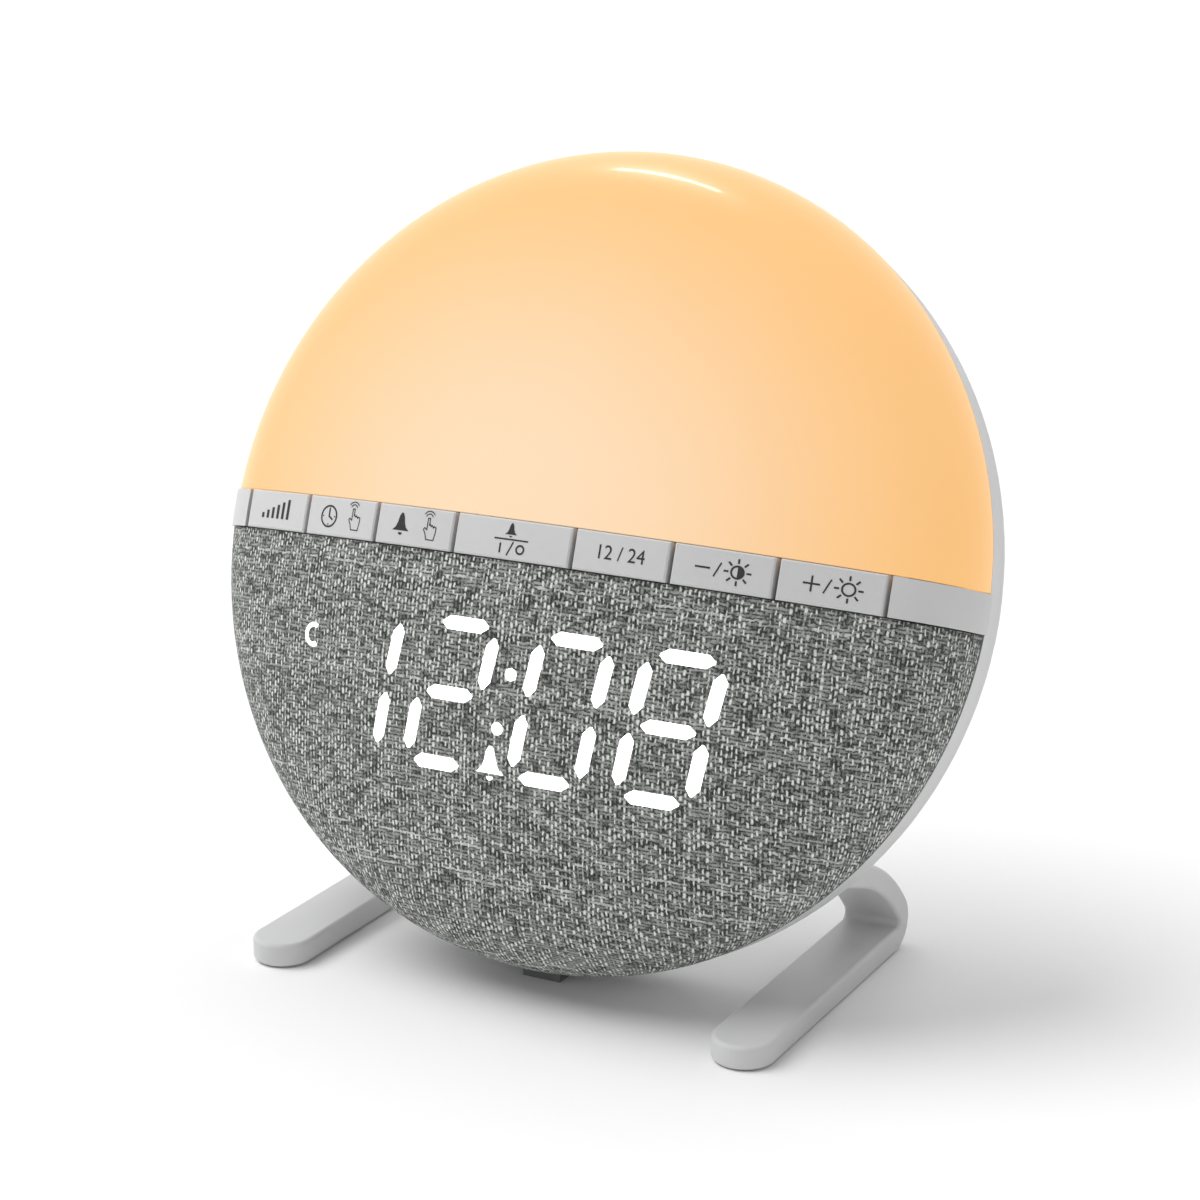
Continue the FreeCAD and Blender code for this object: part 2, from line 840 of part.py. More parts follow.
def make_reflector():
    body = new_body("reflector")
    edge = lip_inner - of.inner_gap
    pad(body, [half_disc(edge, of.bulkhead_low)], -of.reflector_thick, 0)
    reach = root(edge * edge - (of.bulkhead_low + of.bulkhead_wall) * (of.bulkhead_low + of.bulkhead_wall))
    wall = box(-reach, reach, of.bulkhead_low, of.bulkhead_low + of.bulkhead_wall)
    pad(body, [wall], -of.reflector_thick, high_up / 2)
    cut_above_dome(body, -(of.diffuser_wall + of.inner_gap))
    pad(body, circles(top_screws, of.boss_radius), -of.reflector_thick, of.boss_tall)
    pilots = circles(top_screws, case_pilot)
    pocket(body, pilots, -of.reflector_thick - 1, case_screw_tip + of.pilot_spare)
    slot = box(light_ribbon_left - of.inner_gap, light_ribbon_right + of.inner_gap,
               of.light_ribbon_up - of.inner_gap, light_ribbon_high + of.inner_gap)
    pocket(body, [slot], -of.reflector_thick - 1, 1)


def make_light_board():
    body = new_body("light_board")
    pad(body, [half_disc(light_board_radius, light_low)], 0, of.light_board_thick)


def make_light_lamps():
    """Rows of lamps on arcs of the board, each row's radius a share of the board's."""
    first = of.lamp_first_turn.number
    top = of.light_board_thick + of.lamp_tall
    lamps = []
    for ring, count in LAMP_RINGS:
        for step in range(count):
            turn = math.radians(first + (180 - 2 * first) * step / (count - 1))
            left = light_board_radius * (ring * math.cos(turn)) - of.lamp_long / 2
            low = light_board_radius * (ring * math.sin(turn)) + of.lamp_rise
            lamps.append(brick(left, left + of.lamp_long, low, low + of.lamp_wide, of.light_board_thick, top))
    copies("light_lamps", lamps)


# Display

digit_middles = [
    display_middle - colon_pitch / 2 - digit_pitch,
    display_middle - colon_pitch / 2,
    display_middle + colon_pitch / 2,
    display_middle + colon_pitch / 2 + digit_pitch,
]
lean_run = sine(of.digit_slant) / cosine(of.digit_slant)
segment_half = of.segment_wide / 2
digit_reach = digit_high / 2 - segment_half
digit_side = digit_wide / 2 - segment_half


def slanted(middle, x, y):
    """A point of a digit, from its upright x and y about its middle, leaning to the right."""
    return middle + x + as_size(y) * lean_run, digit_middle + y


def bar_across(middle, y, grow):
    end = digit_side - of.segment_gap + grow
    half = segment_half + grow
    return [slanted(middle, x, level) for x, level in (
        (-end, y), (-end + half, y - half), (end - half, y - half),
        (end, y), (end - half, y + half), (-end + half, y + half))]


def bar_upright(middle, x, low, high, grow):
    half = segment_half + grow
    low = low + of.segment_gap - grow
    high = high - of.segment_gap + grow
    return [slanted(middle, across, level) for across, level in (
        (x, low), (x + half, low + half), (x + half, high - half),
        (x, high), (x - half, high - half), (x - half, low + half))]


def digit_bars(middle, grow):
    """Seven bars of one digit: top, middle, bottom, then the four uprights."""
    zero = as_size(0)
    bars = [bar_across(middle, level, grow) for level in (digit_reach, zero, -digit_reach)]
    for x in (-digit_side, digit_side):
        bars.append(bar_upright(middle, x, zero, digit_reach, grow))
        bars.append(bar_upright(middle, x, -digit_reach, zero, grow))
    return bars


def display_dots(grow):
    """Colon dots, bell mark and night mark as round windows (x, y, radius)."""
    dots = []
    for level in (of.colon_rise, -of.colon_rise):
        x, y = slanted(display_middle, zero_size, level)
        dots.append((x, y, of.colon_radius + grow))
    x, y = slanted(display_middle, zero_size, -of.bell_down)
    dots.append((x, y, of.bell_radius + grow))
    dots.append((display_middle - of.night_out, -of.night_down, of.night_radius + grow))
    return dots


zero_size = as_size(0)
window_back = display_board_front + of.lamp_tall + of.lamp_clearance
window_top = -(of.fabric_thick + of.window_sink)


def make_display_housing():
    body = new_body("display_housing")
    pad(body, [box(display_left, display_right, display_low, display_top)],
        display_board_front, high_up / 2)
    cut_above_dome(body, window_top)
    for middle in digit_middles:
        pocket(body, digit_bars(middle, zero_size), display_board_front - 1, everywhere)
    pocket(body, display_dots(zero_size), display_board_front - 1, everywhere)


def prism(corners, bottom, top):
    points = [FreeCAD.Vector(x.number, y.number, bottom.number) for x, y in corners]
    face = Part.Face(Part.makePolygon(points + points[:1]))
    return face.extrude(FreeCAD.Vector(0, 0, (top - bottom).number))


def dome_block(offset):
    """Solid block under the front dome at an offset, for trimming loose prisms."""
    seam, joint, top = dome_corners(offset)
    points = [FreeCAD.Vector(corner[0].number, 0, as_size(corner[1]).number) for corner in (seam, joint)]
    peak = FreeCAD.Vector(0, 0, top[1].number)
    shoulder_mid = arc_middle(shoulder_centre.number, 0, points[0], points[1])
    cap_mid = arc_middle(0, cap_centre.number, points[1], peak)
    edges = [
        Part.makeLine(FreeCAD.Vector(0, 0, 0), points[0]),
        Part.Arc(points[0], shoulder_mid, points[1]).toShape(),
        Part.Arc(points[1], cap_mid, peak).toShape(),
        Part.makeLine(peak, FreeCAD.Vector(0, 0, 0)),
    ]
    face = Part.Face(Part.Wire(edges))
    return face.revolve(FreeCAD.Vector(0, 0, 0), FreeCAD.Vector(0, 0, 1), 360)


def arc_middle(centre_x, centre_z, start, end):
    centre = FreeCAD.Vector(centre_x, 0, centre_z)
    middle = (start + end) * 0.5 - centre
    return centre + middle.normalize() * (start - centre).Length


def make_display_segments():
    fit = -of.segment_fit
    trim = dome_block(window_top)
    pieces = []
    for middle in digit_middles:
        for bar in digit_bars(middle, fit):
            pieces.append(prism(bar, window_back, high_up / 2).common(trim))
    for x, y, radius in display_dots(fit):
        pieces.append(rod(x, y, radius, window_back, high_up / 2).common(trim))
    copies("display_segments", [piece.Solids[0] for piece in pieces])


def make_display_lamps():
    half = of.display_lamp_half
    top = display_board_front + of.lamp_tall
    spots = []
    for middle in digit_middles:
        for bar in digit_bars(middle, zero_size):
            x = sum(corner[0].number for corner in bar) / len(bar)
            y = sum(corner[1].number for corner in bar) / len(bar)
            spots.append((x, y))
    spots += [(x, y) for x, y, radius in display_dots(zero_size)]
    copies("display_lamps", [
        brick(x - half, x + half, y - half, y + half, display_board_front, top) for x, y in spots])


def make_display_board():
    body = new_body("display_board")
    ear_left = display_middle - display_ear_half
    ear_right = display_middle + display_ear_half
    ear_low = display_ear_middle - of.display_ear_high
    ear_high = display_ear_middle + of.display_ear_high
    outline = [
        (display_left, display_low), (display_right, display_low), (display_right, ear_low),
        (ear_right, ear_low), (ear_right, ear_high), (display_right, ear_high),
        (display_right, display_top), (display_left, display_top), (display_left, ear_high),
        (ear_left, ear_high), (ear_left, ear_low), (display_left, ear_low),
    ]
    pad(body, [outline], display_board_back, display_board_front)
    holes = circles(display_screw_spots, board_hole)
    pocket(body, holes, display_board_back - 1, display_board_front + 1)


def make_display_screws():
    copies("display_screws", [
        screw(x, y, of.small_head, of.small_head_tall, of.small_screw, display_board_back, display_screw_tip)
        for x, y in display_screw_spots])


# Main board and power inlet

main_back = of.main_front - of.board_thick
main_screw_spots = [
    (side * (main_half - of.screw_inset), level)
    for side in (-1, 1) for level in (of.main_low + of.screw_inset, main_high - of.screw_inset)]
main_screw_tip = main_back - of.board_screw_bite
jack_back = cover_back + of.jack_gap
jack_shoulder = cover_floor + 1


def make_main_board():
    body = new_body("main_board")
    pad(body, [box(-main_half, main_half, of.main_low, main_high)], main_back, of.main_front)
    pocket(body, circles(main_screw_spots, board_hole), main_back - 1, of.main_front + 1)


def make_main_board_screws():
    copies("main_board_screws", [
        screw(x, y, of.small_head, of.small_head_tall, of.small_screw, of.main_front,
              main_screw_tip, head_first=False)
        for x, y in main_screw_spots])


# Left, right, low, high and height of the flat components on the main board
PROCESSOR = (-22, -10, 24, 36, 1.4)
LAMP_DRIVER = (8, 16, 26, 31, 1.5)
CLOCK_CRYSTAL = (-6, -2, 28, 30, 1.2)
COIL = (20, 26, 30, 36, 3.0)
# Sideways place, height on the board, radius and height of the capacitors
CAPACITORS = [(24, 12, 3.1, 8.0), (24, 21, 3.1, 8.0)]


def make_board_components():
    pieces = [brick(*place, main_back - tall, main_back)
              for *place, tall in (PROCESSOR, LAMP_DRIVER, CLOCK_CRYSTAL, COIL)]
    pieces += [rod(x, y, radius, main_back - tall, main_back) for x, y, radius, tall in CAPACITORS]
    copies("board_components", pieces)


def make_power_inlet():
    body = new_body("power_inlet")
    half = of.jack_side / 2
    pad(body, [around(0, of.jack_up, half, half)], jack_shoulder, main_back)
    pad(body, [(0, of.jack_up, of.jack_nose)], jack_back, jack_shoulder)
    pocket(body, [(0, of.jack_up, of.jack_bore)], jack_back - 1, jack_back + of.jack_deep)


def make_inlet_pin():
    body = new_body("inlet_pin")
    pad(body, [(0, of.jack_up, of.jack_pin)], jack_back + 1, jack_back + of.jack_deep)


# Speaker, facing the back

gasket_low = cover_floor + of.speaker_seat
flange_low = gasket_low + of.gasket_thick
flange_top = flange_low + of.speaker_flange
magnet_low = flange_low + of.speaker_deep - of.magnet_tall
plate_low = magnet_low - of.speaker_flange
ring_inner = speaker_radius - of.ring_wide
cone_edge = speaker_radius - of.cone_inset
speaker_screw_ring = speaker_radius + of.speaker_boss + of.board_hole_gap
speaker_screw_tip = cover_floor + of.board_hole_gap
speaker_screw_spots = [
    (speaker_screw_ring * math.cos(math.radians(turn)),
     -speaker_down + speaker_screw_ring * math.sin(math.radians(turn)))
    for turn in (90, 210, 330)]


def make_speaker_frame():
    body = new_body("speaker_frame")
    solid_of_turn(body, [
        (speaker_radius, flange_low), (speaker_radius, flange_top),
        (speaker_radius - 2 * of.basket_gap, flange_top), (of.magnet_radius + of.basket_gap, magnet_low),
        (of.speaker_hub, magnet_low), (of.speaker_hub, plate_low), (of.magnet_radius, plate_low),
        (ring_inner, flange_low)], speaker_down)


def make_speaker_cone():
    body = new_body("speaker_cone")
    inside = flange_low + of.cone_deep
    outside = inside + of.cone_thick
    solid_of_turn(body, [
        (0, inside), (of.cone_hub, inside), (cone_edge, flange_low),
        (cone_edge + of.cone_thick, flange_low + of.cone_thick),
        (of.cone_hub + of.cone_thick / 2, outside), (0, outside)], speaker_down)


def make_speaker_magnet():
    body = new_body("speaker_magnet")
    pad(body, [(0, -speaker_down, of.magnet_radius)], magnet_low, magnet_low + of.magnet_tall)


def make_speaker_gasket():
    body = new_body("speaker_gasket")
    pad(body, [(0, -speaker_down, speaker_radius), (0, -speaker_down, ring_inner)],
        gasket_low, flange_low)


def make_speaker_screws():
    copies("speaker_screws", [
        screw(x, y, of.speaker_head, of.small_head_tall, of.small_screw, flange_top,
              speaker_screw_tip, head_first=False)
        for x, y in speaker_screw_spots])


def make_speaker_leads():
    reach = root(of.magnet_radius * of.magnet_radius - of.lead_apart * of.lead_apart)
    start = reach - speaker_down + of.lead_gap
    depth = main_back + of.board_thick / 2
    length = (of.main_low - start).number
    copies("speaker_leads", [
        Part.makeCylinder(
            of.lead_radius.number, length,
            FreeCAD.Vector(side * of.lead_apart.number, start.number, depth.number),
            FreeCAD.Vector(0, 1, 0))
        for side in (-1, 1)])


# Back-up cell

bay_floor = cover_back + of.bay_deep
door_top = cover_back + of.door_thick
door_half = of.bay_half + of.door_rim
cell_top = bay_floor - of.contact_thick


def make_battery_door():
    body = new_body("battery_door")
    half = door_half - of.door_gap
    pad(body, [around(cell_out, -cell_down, half, half)], cover_back, door_top)
    for side in (-1, 1):
        outer = cell_out + side * (of.bay_half - of.door_gap)
        inner = outer - side * of.prong_thick
        prong = sorted_box(inner, outer, -cell_down - of.prong_half, -cell_down + of.prong_half)
        pad(body, [prong], door_top, door_top + of.prong_long)


def make_coin_cell():
    body = new_body("coin_cell")
    pad(body, [(cell_out, -cell_down, of.cell_radius)], cell_top - of.cell_thick, cell_top)


def make_battery_contacts():
    edge = cell_out - of.cell_radius - of.contact_gap
    copies("battery_contacts", [
        brick(cell_out - of.contact_half, cell_out + of.contact_half,
              -cell_down - of.contact_reach, -cell_down + of.contact_reach, cell_top, bay_floor),
        brick(edge - of.contact_thick, edge,
              -cell_down - of.side_contact_half, -cell_down + of.side_contact_half,
              cell_top - of.cell_thick, bay_floor),
    ])


# Legs

leg_mid = leg_outer - of.leg_wide / 2
turn_past = of.heel_turn - 90
heel_y = face_forward + of.leg_heel - of.heel_radius
heel_z = of.pad_proud + of.heel_radius
arm_y = heel_y + (of.heel_radius - of.arm_radius) * cosine(turn_past)
arm_z = heel_z + (of.heel_radius - of.arm_radius) * sine(turn_past)
tip_y = face_forward - of.leg_reach
pad_front = tip_y + of.pad_inset
pad_rear = heel_y - of.pad_inset
pad_half = of.leg_wide / 2 - of.pad_inset
pad_top = of.pad_proud + of.pad_sink


def to_face(y, z):
    """A point of the side view, given from the table, as (up the face, out of the face)."""
    back = y - face_forward
    rise = z - centre_height
    return back * lean_sin + rise * lean_cos, rise * lean_sin - back * lean_cos


arm_up, arm_depth = to_face(arm_y, arm_z)
arm_outer_up = arm_up + of.arm_radius
arm_inner_up = arm_outer_up - of.leg_thick
arm_middle_up = arm_outer_up - of.leg_thick / 2
arm_stop = rim_back + 2
tenon_top = -of.tenon_end
socket_top = tenon_top + of.tenon_gap + of.socket_wall
leg_screw_tip = tenon_top - of.counterbore_deep


def cover_outside(gap):
    """Outer line of the rear cover, from its flat back to the seam, at a gap."""
    return [
        (flat_radius, cover_back - gap, cover_round + gap, "right"),
        (rim_rear_radius + gap, rim_back),
        (of.seam_radius + gap, 0),
    ]


def seat_on_cover(body):
    """Shape a piece to the rear cover's outside, at the seat gap."""
    ahead = of.leg_thick
    inside = [(0, ahead), (0, cover_back - of.seat_gap)] + cover_outside(of.seat_gap)
    turned_cut(body, inside + [(of.seam_radius + of.seat_gap, ahead)])


def leg_outline():
    spin_y = cosine(turn_past)
    spin_z = sine(turn_past)
    inner_heel = of.heel_radius - of.leg_thick
    inner_arm = of.arm_radius - of.leg_thick
    return [
        to_face(tip_y, of.pad_proud),
        to_face(heel_y, of.pad_proud) + (of.heel_radius, "right"),
        to_face(heel_y + of.heel_radius * spin_y,
                heel_z + of.heel_radius * spin_z) + (of.arm_radius, "right"),
        (arm_outer_up, arm_depth),
        (arm_outer_up, arm_stop),
        (arm_inner_up, arm_stop),
        (arm_inner_up, arm_depth, inner_arm, "left"),
        to_face(heel_y + inner_heel * spin_y, heel_z + inner_heel * spin_z) + (inner_heel, "left"),
        to_face(heel_y, of.pad_proud + of.leg_thick),
        to_face(tip_y, of.pad_proud + of.leg_thick),
    ]


def world_point(point):
    """Turn a point of the face's frame into one of the table's."""
    turn = FreeCAD.Rotation(FreeCAD.Vector(1, 0, 0), 90 - of.tilt_back.number)
    place = FreeCAD.Placement(FreeCAD.Vector(0, face_forward.number, centre_height.number), turn)
    return place.multVec(point)


def make_leg(label, side):
    body = new_body(label)
    if side > 0:
        pad(body, [leg_outline()], leg_outer - of.leg_wide, leg_outer, "YZ_Plane")
    else:
        pad(body, [leg_outline()], -leg_outer, of.leg_wide - leg_outer, "YZ_Plane")
    doc.recompute()
    tip_edges = []
    for number, edge in enumerate(body.Tip.Shape.Edges, start=1):
        ends = [world_point(vertex.Point) for vertex in edge.Vertexes]
        if len(ends) == 2 and all(abs(end.y - tip_y.number) < 0.01 for end in ends):
            if abs(ends[0].z - ends[1].z) > 1:
                tip_edges.append("Edge%d" % number)
    fillet(body, tip_edges, of.leg_wide / 2 - of.seat_gap / 2)
    doc.recompute()
    fillet(body, edges_round_inside(body), of.leg_round)
    seat_on_cover(body)
    middle = side * leg_mid
    tenon = around(middle, arm_middle_up, of.tenon_wide / 2, of.tenon_thick / 2)
    pad(body, [tenon], cover_back - 1, tenon_top)
    pocket(body, [(middle, arm_middle_up, small_pilot)], leg_screw_tip - of.pilot_spare, tenon_top + 1)
    front = pad_front - of.pad_gap
    rear = pad_rear + of.pad_gap
    recess = [to_face(front, zero_size), to_face(rear, zero_size),
              to_face(rear, pad_top), to_face(front, pad_top)]
    reach = pad_half + of.pad_gap
    pocket(body, [recess], middle - reach, middle + reach, "YZ_Plane")


def edges_round_inside(body):
    """A leg's long edges, but for those at the table, at its end and along its toe's height."""
    shape = body.Tip.Shape
    names = []
    for number, edge in enumerate(shape.Edges, start=1):
        middle = edge.valueAt((edge.FirstParameter + edge.LastParameter) / 2)
        spot = world_point(middle)
        along_x = abs(edge.tangentAt(edge.FirstParameter).x) > 0.99 and len(edge.Vertexes) == 2
        if along_x:
            continue
        upright = edge.Vertexes[0].Point.sub(edge.Vertexes[-1].Point)
        if len(edge.Vertexes) == 2 and upright.Length < of.leg_thick.number + 0.01 and \
                abs(world_point(edge.Vertexes[0].Point).z - world_point(edge.Vertexes[1].Point).z) \
                > of.leg_thick.number * 0.98:
            continue
        if abs(spot.z - of.pad_proud.number) < 0.01:
            continue
        if middle.z > arm_stop.number - 0.01:
            continue
        names.append("Edge%d" % number)
    return names


def make_foot_pad(label, side):
    body = new_body(label, leaning=False)
    left = side * leg_mid - pad_half
    right = side * leg_mid + pad_half
    pad(body, [rounded_box(left, right, pad_front, pad_rear, pad_half - of.seat_gap)], 0, pad_top)


def make_leg_screws():
    copies("leg_screws", [
        screw(side * leg_mid, arm_middle_up, of.small_head, of.small_head_tall, of.small_screw,
              socket_top, leg_screw_tip, head_first=False)
        for side in (-1, 1)])


def make_centre_foot():
    body = new_body("centre_foot")
    front = face_forward - foot_front
    back = front + of.foot_long
    outline = [to_face(front, zero_size), to_face(back, zero_size),
               to_face(back, foot_top), to_face(front, foot_top)]
    pad(body, [outline], -of.foot_half, of.foot_half, "YZ_Plane")
    seat_on_cover(body)


# Rear cover

def make_rear_cover():
    body = new_body("rear_cover")
    inner_seam = of.seam_radius - of.cover_wall
    inner_rim = rim_rear_radius - of.cover_wall
    solid_of_turn(body, [(0, cover_back)] + cover_outside(0) + [
        (inner_seam, 0),
        (inner_rim, rim_back, cover_round - of.cover_wall, "left"),
        (flat_radius, cover_floor),
        (0, cover_floor),
    ])
    root_low = cover_floor - 0.5
    pad(body, circles(top_screws + low_screws, of.column_radius), root_low, column_top)
    pad(body, circles(main_screw_spots, of.post_radius), root_low, main_back)
    pad(body, [(0, -speaker_down, speaker_radius), (0, -speaker_down, ring_inner)],
        root_low, gasket_low)
    pad(body, circles(speaker_screw_spots, of.speaker_boss), root_low, flange_top)
    bay_outer = of.bay_half + of.bay_wall
    pad(body, [around(cell_out, -cell_down, bay_outer, bay_outer)], root_low, bay_floor + of.bay_wall)
    socket_x = of.tenon_wide / 2 + of.tenon_gap + of.socket_wall
    socket_y = of.tenon_thick / 2 + of.tenon_gap + of.socket_wall
    for side in (-1, 1):
        pad(body, [around(side * leg_mid, arm_middle_up, socket_x, socket_y)], root_low, socket_top)
    far = everywhere
    turned_cut(body, cover_outside(0) + [(far, 0), (far, cover_back)])
    pocket(body, circles(top_screws + low_screws, of.screw_hole), cover_back - 1, column_top + 1)
    pocket(body, circles(top_screws + low_screws, of.counterbore), cover_back - 1, case_head_seat)
    pocket(body, circles(main_screw_spots, small_pilot), main_screw_tip - of.pilot_spare, main_back + 1)
    pocket(body, circles(speaker_screw_spots, small_pilot), cover_floor, flange_top + 1)
    pocket(body, grille_spots(), cover_back - 1, cover_floor + 1)
    pocket(body, [around(cell_out, -cell_down, of.bay_half, of.bay_half)], cover_back - 1, bay_floor)
    pocket(body, [around(cell_out, -cell_down, door_half, door_half)], cover_back - 1, door_top)
    pocket(body, [(0, of.jack_up, of.jack_nose + of.jack_gap)], cover_back - 1, cover_floor + 1)
    for side in (-1, 1):
        slot = around(side * leg_mid, arm_middle_up,
                      of.tenon_wide / 2 + of.tenon_gap, of.tenon_thick / 2 + of.tenon_gap)
        pocket(body, [slot], cover_back - 1, tenon_top + of.tenon_gap)
        pocket(body, [(side * leg_mid, arm_middle_up, small_pilot)], tenon_top - 1, socket_top + 1)


def grille_spots():
    """Holes on a triangular grid, as far out as the cone."""
    reach = ring_inner.number - 3
    pitch = of.grille_pitch.number
    rows = int(reach / pitch) + 1
    spots = []
    for row in range(-rows, rows + 1):
        for column in range(-rows, rows + 1):
            x = pitch * (column + 0.5 * (row % 2))
            y = pitch * row * math.sqrt(3) / 2
            if math.hypot(x, y) <= reach:
                spots.append((x, y - speaker_down, of.grille_hole))
    return spots


# Ribbons

def make_display_ribbon():
    body = new_body("display_ribbon")
    near = -of.display_ribbon_down
    far = -of.display_ribbon_end
    run = of.main_front + of.ribbon_rise
    thick = of.ribbon_thick
    pad(body, [[
        (near - thick, display_board_back), (near - thick, run), (far - thick, run),
        (far - thick, of.main_front), (far, of.main_front), (far, run + thick),
        (near, run + thick), (near, display_board_back)]],
        display_middle - of.display_ribbon_half, display_middle + of.display_ribbon_half, "YZ_Plane")


def make_key_ribbon():
    body = new_body("key_ribbon")
    left = main_half * of.key_ribbon_share
    right = left + of.key_ribbon_wide
    pad(body, [box(left, right, 0, of.ribbon_thick)], of.main_front, key_board_back)


def make_light_ribbon():
    body = new_body("light_ribbon")
    pad(body, [box(light_ribbon_left, light_ribbon_right, of.light_ribbon_up, light_ribbon_high)],
        of.main_front, 0)


def make_case_screws():
    copies("case_screws", [
        screw(x, y, of.screw_head, of.screw_head_tall, of.screw_radius, case_head_seat, case_screw_tip)
        for x, y in top_screws + low_screws])


# Build all pieces

make_diffuser()
make_front_shell()
make_fabric_cover()
make_control_bar()
for place, label in enumerate(KEYS):
    make_key(place, label)
    make_plunger(place, label.replace("_key", "_plunger"))
make_key_board()
make_tact_switches()
make_key_board_screws()
make_reflector()
make_light_board()
make_light_lamps()
make_display_housing()
make_display_segments()
make_display_lamps()
make_display_board()
make_display_screws()
make_main_board()
make_main_board_screws()
make_board_components()
make_power_inlet()
make_inlet_pin()
make_speaker_frame()
make_speaker_cone()
make_speaker_magnet()
make_speaker_gasket()
make_speaker_screws()
make_speaker_leads()
make_battery_door()
make_coin_cell()
make_battery_contacts()
make_leg("right_leg", 1)
make_leg("left_leg", -1)
make_foot_pad("right_foot_pad", 1)
make_foot_pad("left_foot_pad", -1)
make_leg_screws()
make_centre_foot()
make_rear_cover()
make_display_ribbon()
make_key_ribbon()
make_light_ribbon()
make_case_screws()
doc.recompute()

# Check every object and write each piece

for thing in doc.Objects:
    if "Invalid" in thing.State or "Error" in thing.State:
        raise ValueError("%s: %s" % (thing.Name, thing.State))

pieces = [thing for thing in doc.Objects if thing.TypeId in ("PartDesign::Body", "Part::Feature")]
os.makedirs("parts", exist_ok=True)
for piece in pieces:
    shape = piece.Shape
    if shape.isNull() or not shape.isValid():
        raise ValueError(piece.Label)
for piece in pieces:
    piece.Shape.exportStep("parts/%s.step" % piece.Label)
    box_of = piece.Shape.BoundBox
    print("%-22s solids %3d volume %10.1f x %7.2f %7.2f y %7.2f %7.2f z %7.2f %7.2f" % (
        piece.Label, len(piece.Shape.Solids), piece.Shape.Volume,
        box_of.XMin, box_of.XMax, box_of.YMin, box_of.YMax, box_of.ZMin, box_of.ZMax))
print("pieces", len(pieces))
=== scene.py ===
import math

import bpy
from mathutils import Matrix, Vector

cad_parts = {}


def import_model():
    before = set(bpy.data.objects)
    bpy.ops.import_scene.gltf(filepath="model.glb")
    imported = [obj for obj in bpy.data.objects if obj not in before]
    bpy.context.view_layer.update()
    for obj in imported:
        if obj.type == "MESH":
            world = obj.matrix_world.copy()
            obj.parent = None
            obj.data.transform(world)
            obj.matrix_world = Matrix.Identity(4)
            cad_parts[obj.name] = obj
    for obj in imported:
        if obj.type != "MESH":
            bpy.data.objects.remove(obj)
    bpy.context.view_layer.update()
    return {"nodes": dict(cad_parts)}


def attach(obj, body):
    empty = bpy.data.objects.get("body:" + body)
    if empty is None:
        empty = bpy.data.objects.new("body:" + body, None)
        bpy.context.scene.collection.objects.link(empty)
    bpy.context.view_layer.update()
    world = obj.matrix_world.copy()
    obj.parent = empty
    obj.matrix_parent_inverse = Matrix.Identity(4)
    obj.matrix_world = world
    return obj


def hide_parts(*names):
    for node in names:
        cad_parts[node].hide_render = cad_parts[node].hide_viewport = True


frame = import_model()
nodes = frame["nodes"]

# Sizes in millimetres, the same as in the solids. The face's own frame has u to
# the right, v up the face and w out of it, with w = 0 on the seam.

MM = 0.001
LEAN = math.radians(19.8)
FACE_PLACE = Vector((0, 1.3609, 82.4))
SEAM_RADIUS = 84.0
CAP_RADIUS = 162.6
SHOULDER_RADIUS = 23.9
STRIP_EDGE = 4.15
STRIP_PROUD = 0.5
SEAM_GAP = 0.25

# The front dome is a wide cap that turns into a tight shoulder towards the seam

SHOULDER_CENTRE = SEAM_RADIUS - SHOULDER_RADIUS
JOIN_SIN = SHOULDER_CENTRE / (CAP_RADIUS - SHOULDER_RADIUS)
CAP_CENTRE = (SHOULDER_RADIUS - CAP_RADIUS) * math.sqrt(1 - JOIN_SIN ** 2)
CAP_ARC = CAP_RADIUS * math.asin(JOIN_SIN)
DOME_ARC = CAP_ARC + SHOULDER_RADIUS * math.acos(JOIN_SIN)


def height(radius, lift=0.0):
    """Height of the front dome above the seam, at a lift outward from its surface."""
    cap = CAP_RADIUS + lift
    shoulder = SHOULDER_RADIUS + lift
    if radius <= cap * JOIN_SIN:
        return CAP_CENTRE + math.sqrt(cap * cap - radius * radius)
    return math.sqrt(max(shoulder * shoulder - (radius - SHOULDER_CENTRE) ** 2, 0))


def in_part(u, v, w):
    """A point of the face's frame in the part's own frame, in metres."""
    y = FACE_PLACE.y + v * math.sin(LEAN) - w * math.cos(LEAN)
    z = FACE_PLACE.z + v * math.cos(LEAN) + w * math.sin(LEAN)
    return Vector((u, y, z)) * MM


def on_dome(u, v, lift):
    return in_part(u, v, height(math.hypot(u, v), lift))


# Node arithmetic for materials

class Value:
    """An output socket that adds, subtracts, multiplies and divides."""

    def __init__(self, graph, socket):
        self.graph = graph
        self.socket = socket

    def __add__(self, other):
        return self.graph.maths("ADD", self, other)

    def __radd__(self, other):
        return self.graph.maths("ADD", other, self)

    def __sub__(self, other):
        return self.graph.maths("SUBTRACT", self, other)

    def __mul__(self, other):
        return self.graph.maths("MULTIPLY", self, other)

    def __rmul__(self, other):
        return self.graph.maths("MULTIPLY", other, self)

    def __truediv__(self, other):
        return self.graph.maths("DIVIDE", self, other)


def opaque(colour):
    """A plain colour with full alpha. A socket's value stays as it is."""
    return colour + (1,) if isinstance(colour, tuple) else colour


def shade(colour, share):
    return tuple(channel * share for channel in colour)


# The mix node has a set of sockets for each kind of data, and these are its colours

MIX_FIRST = 6
MIX_SECOND = 7
MIX_RESULT = 2


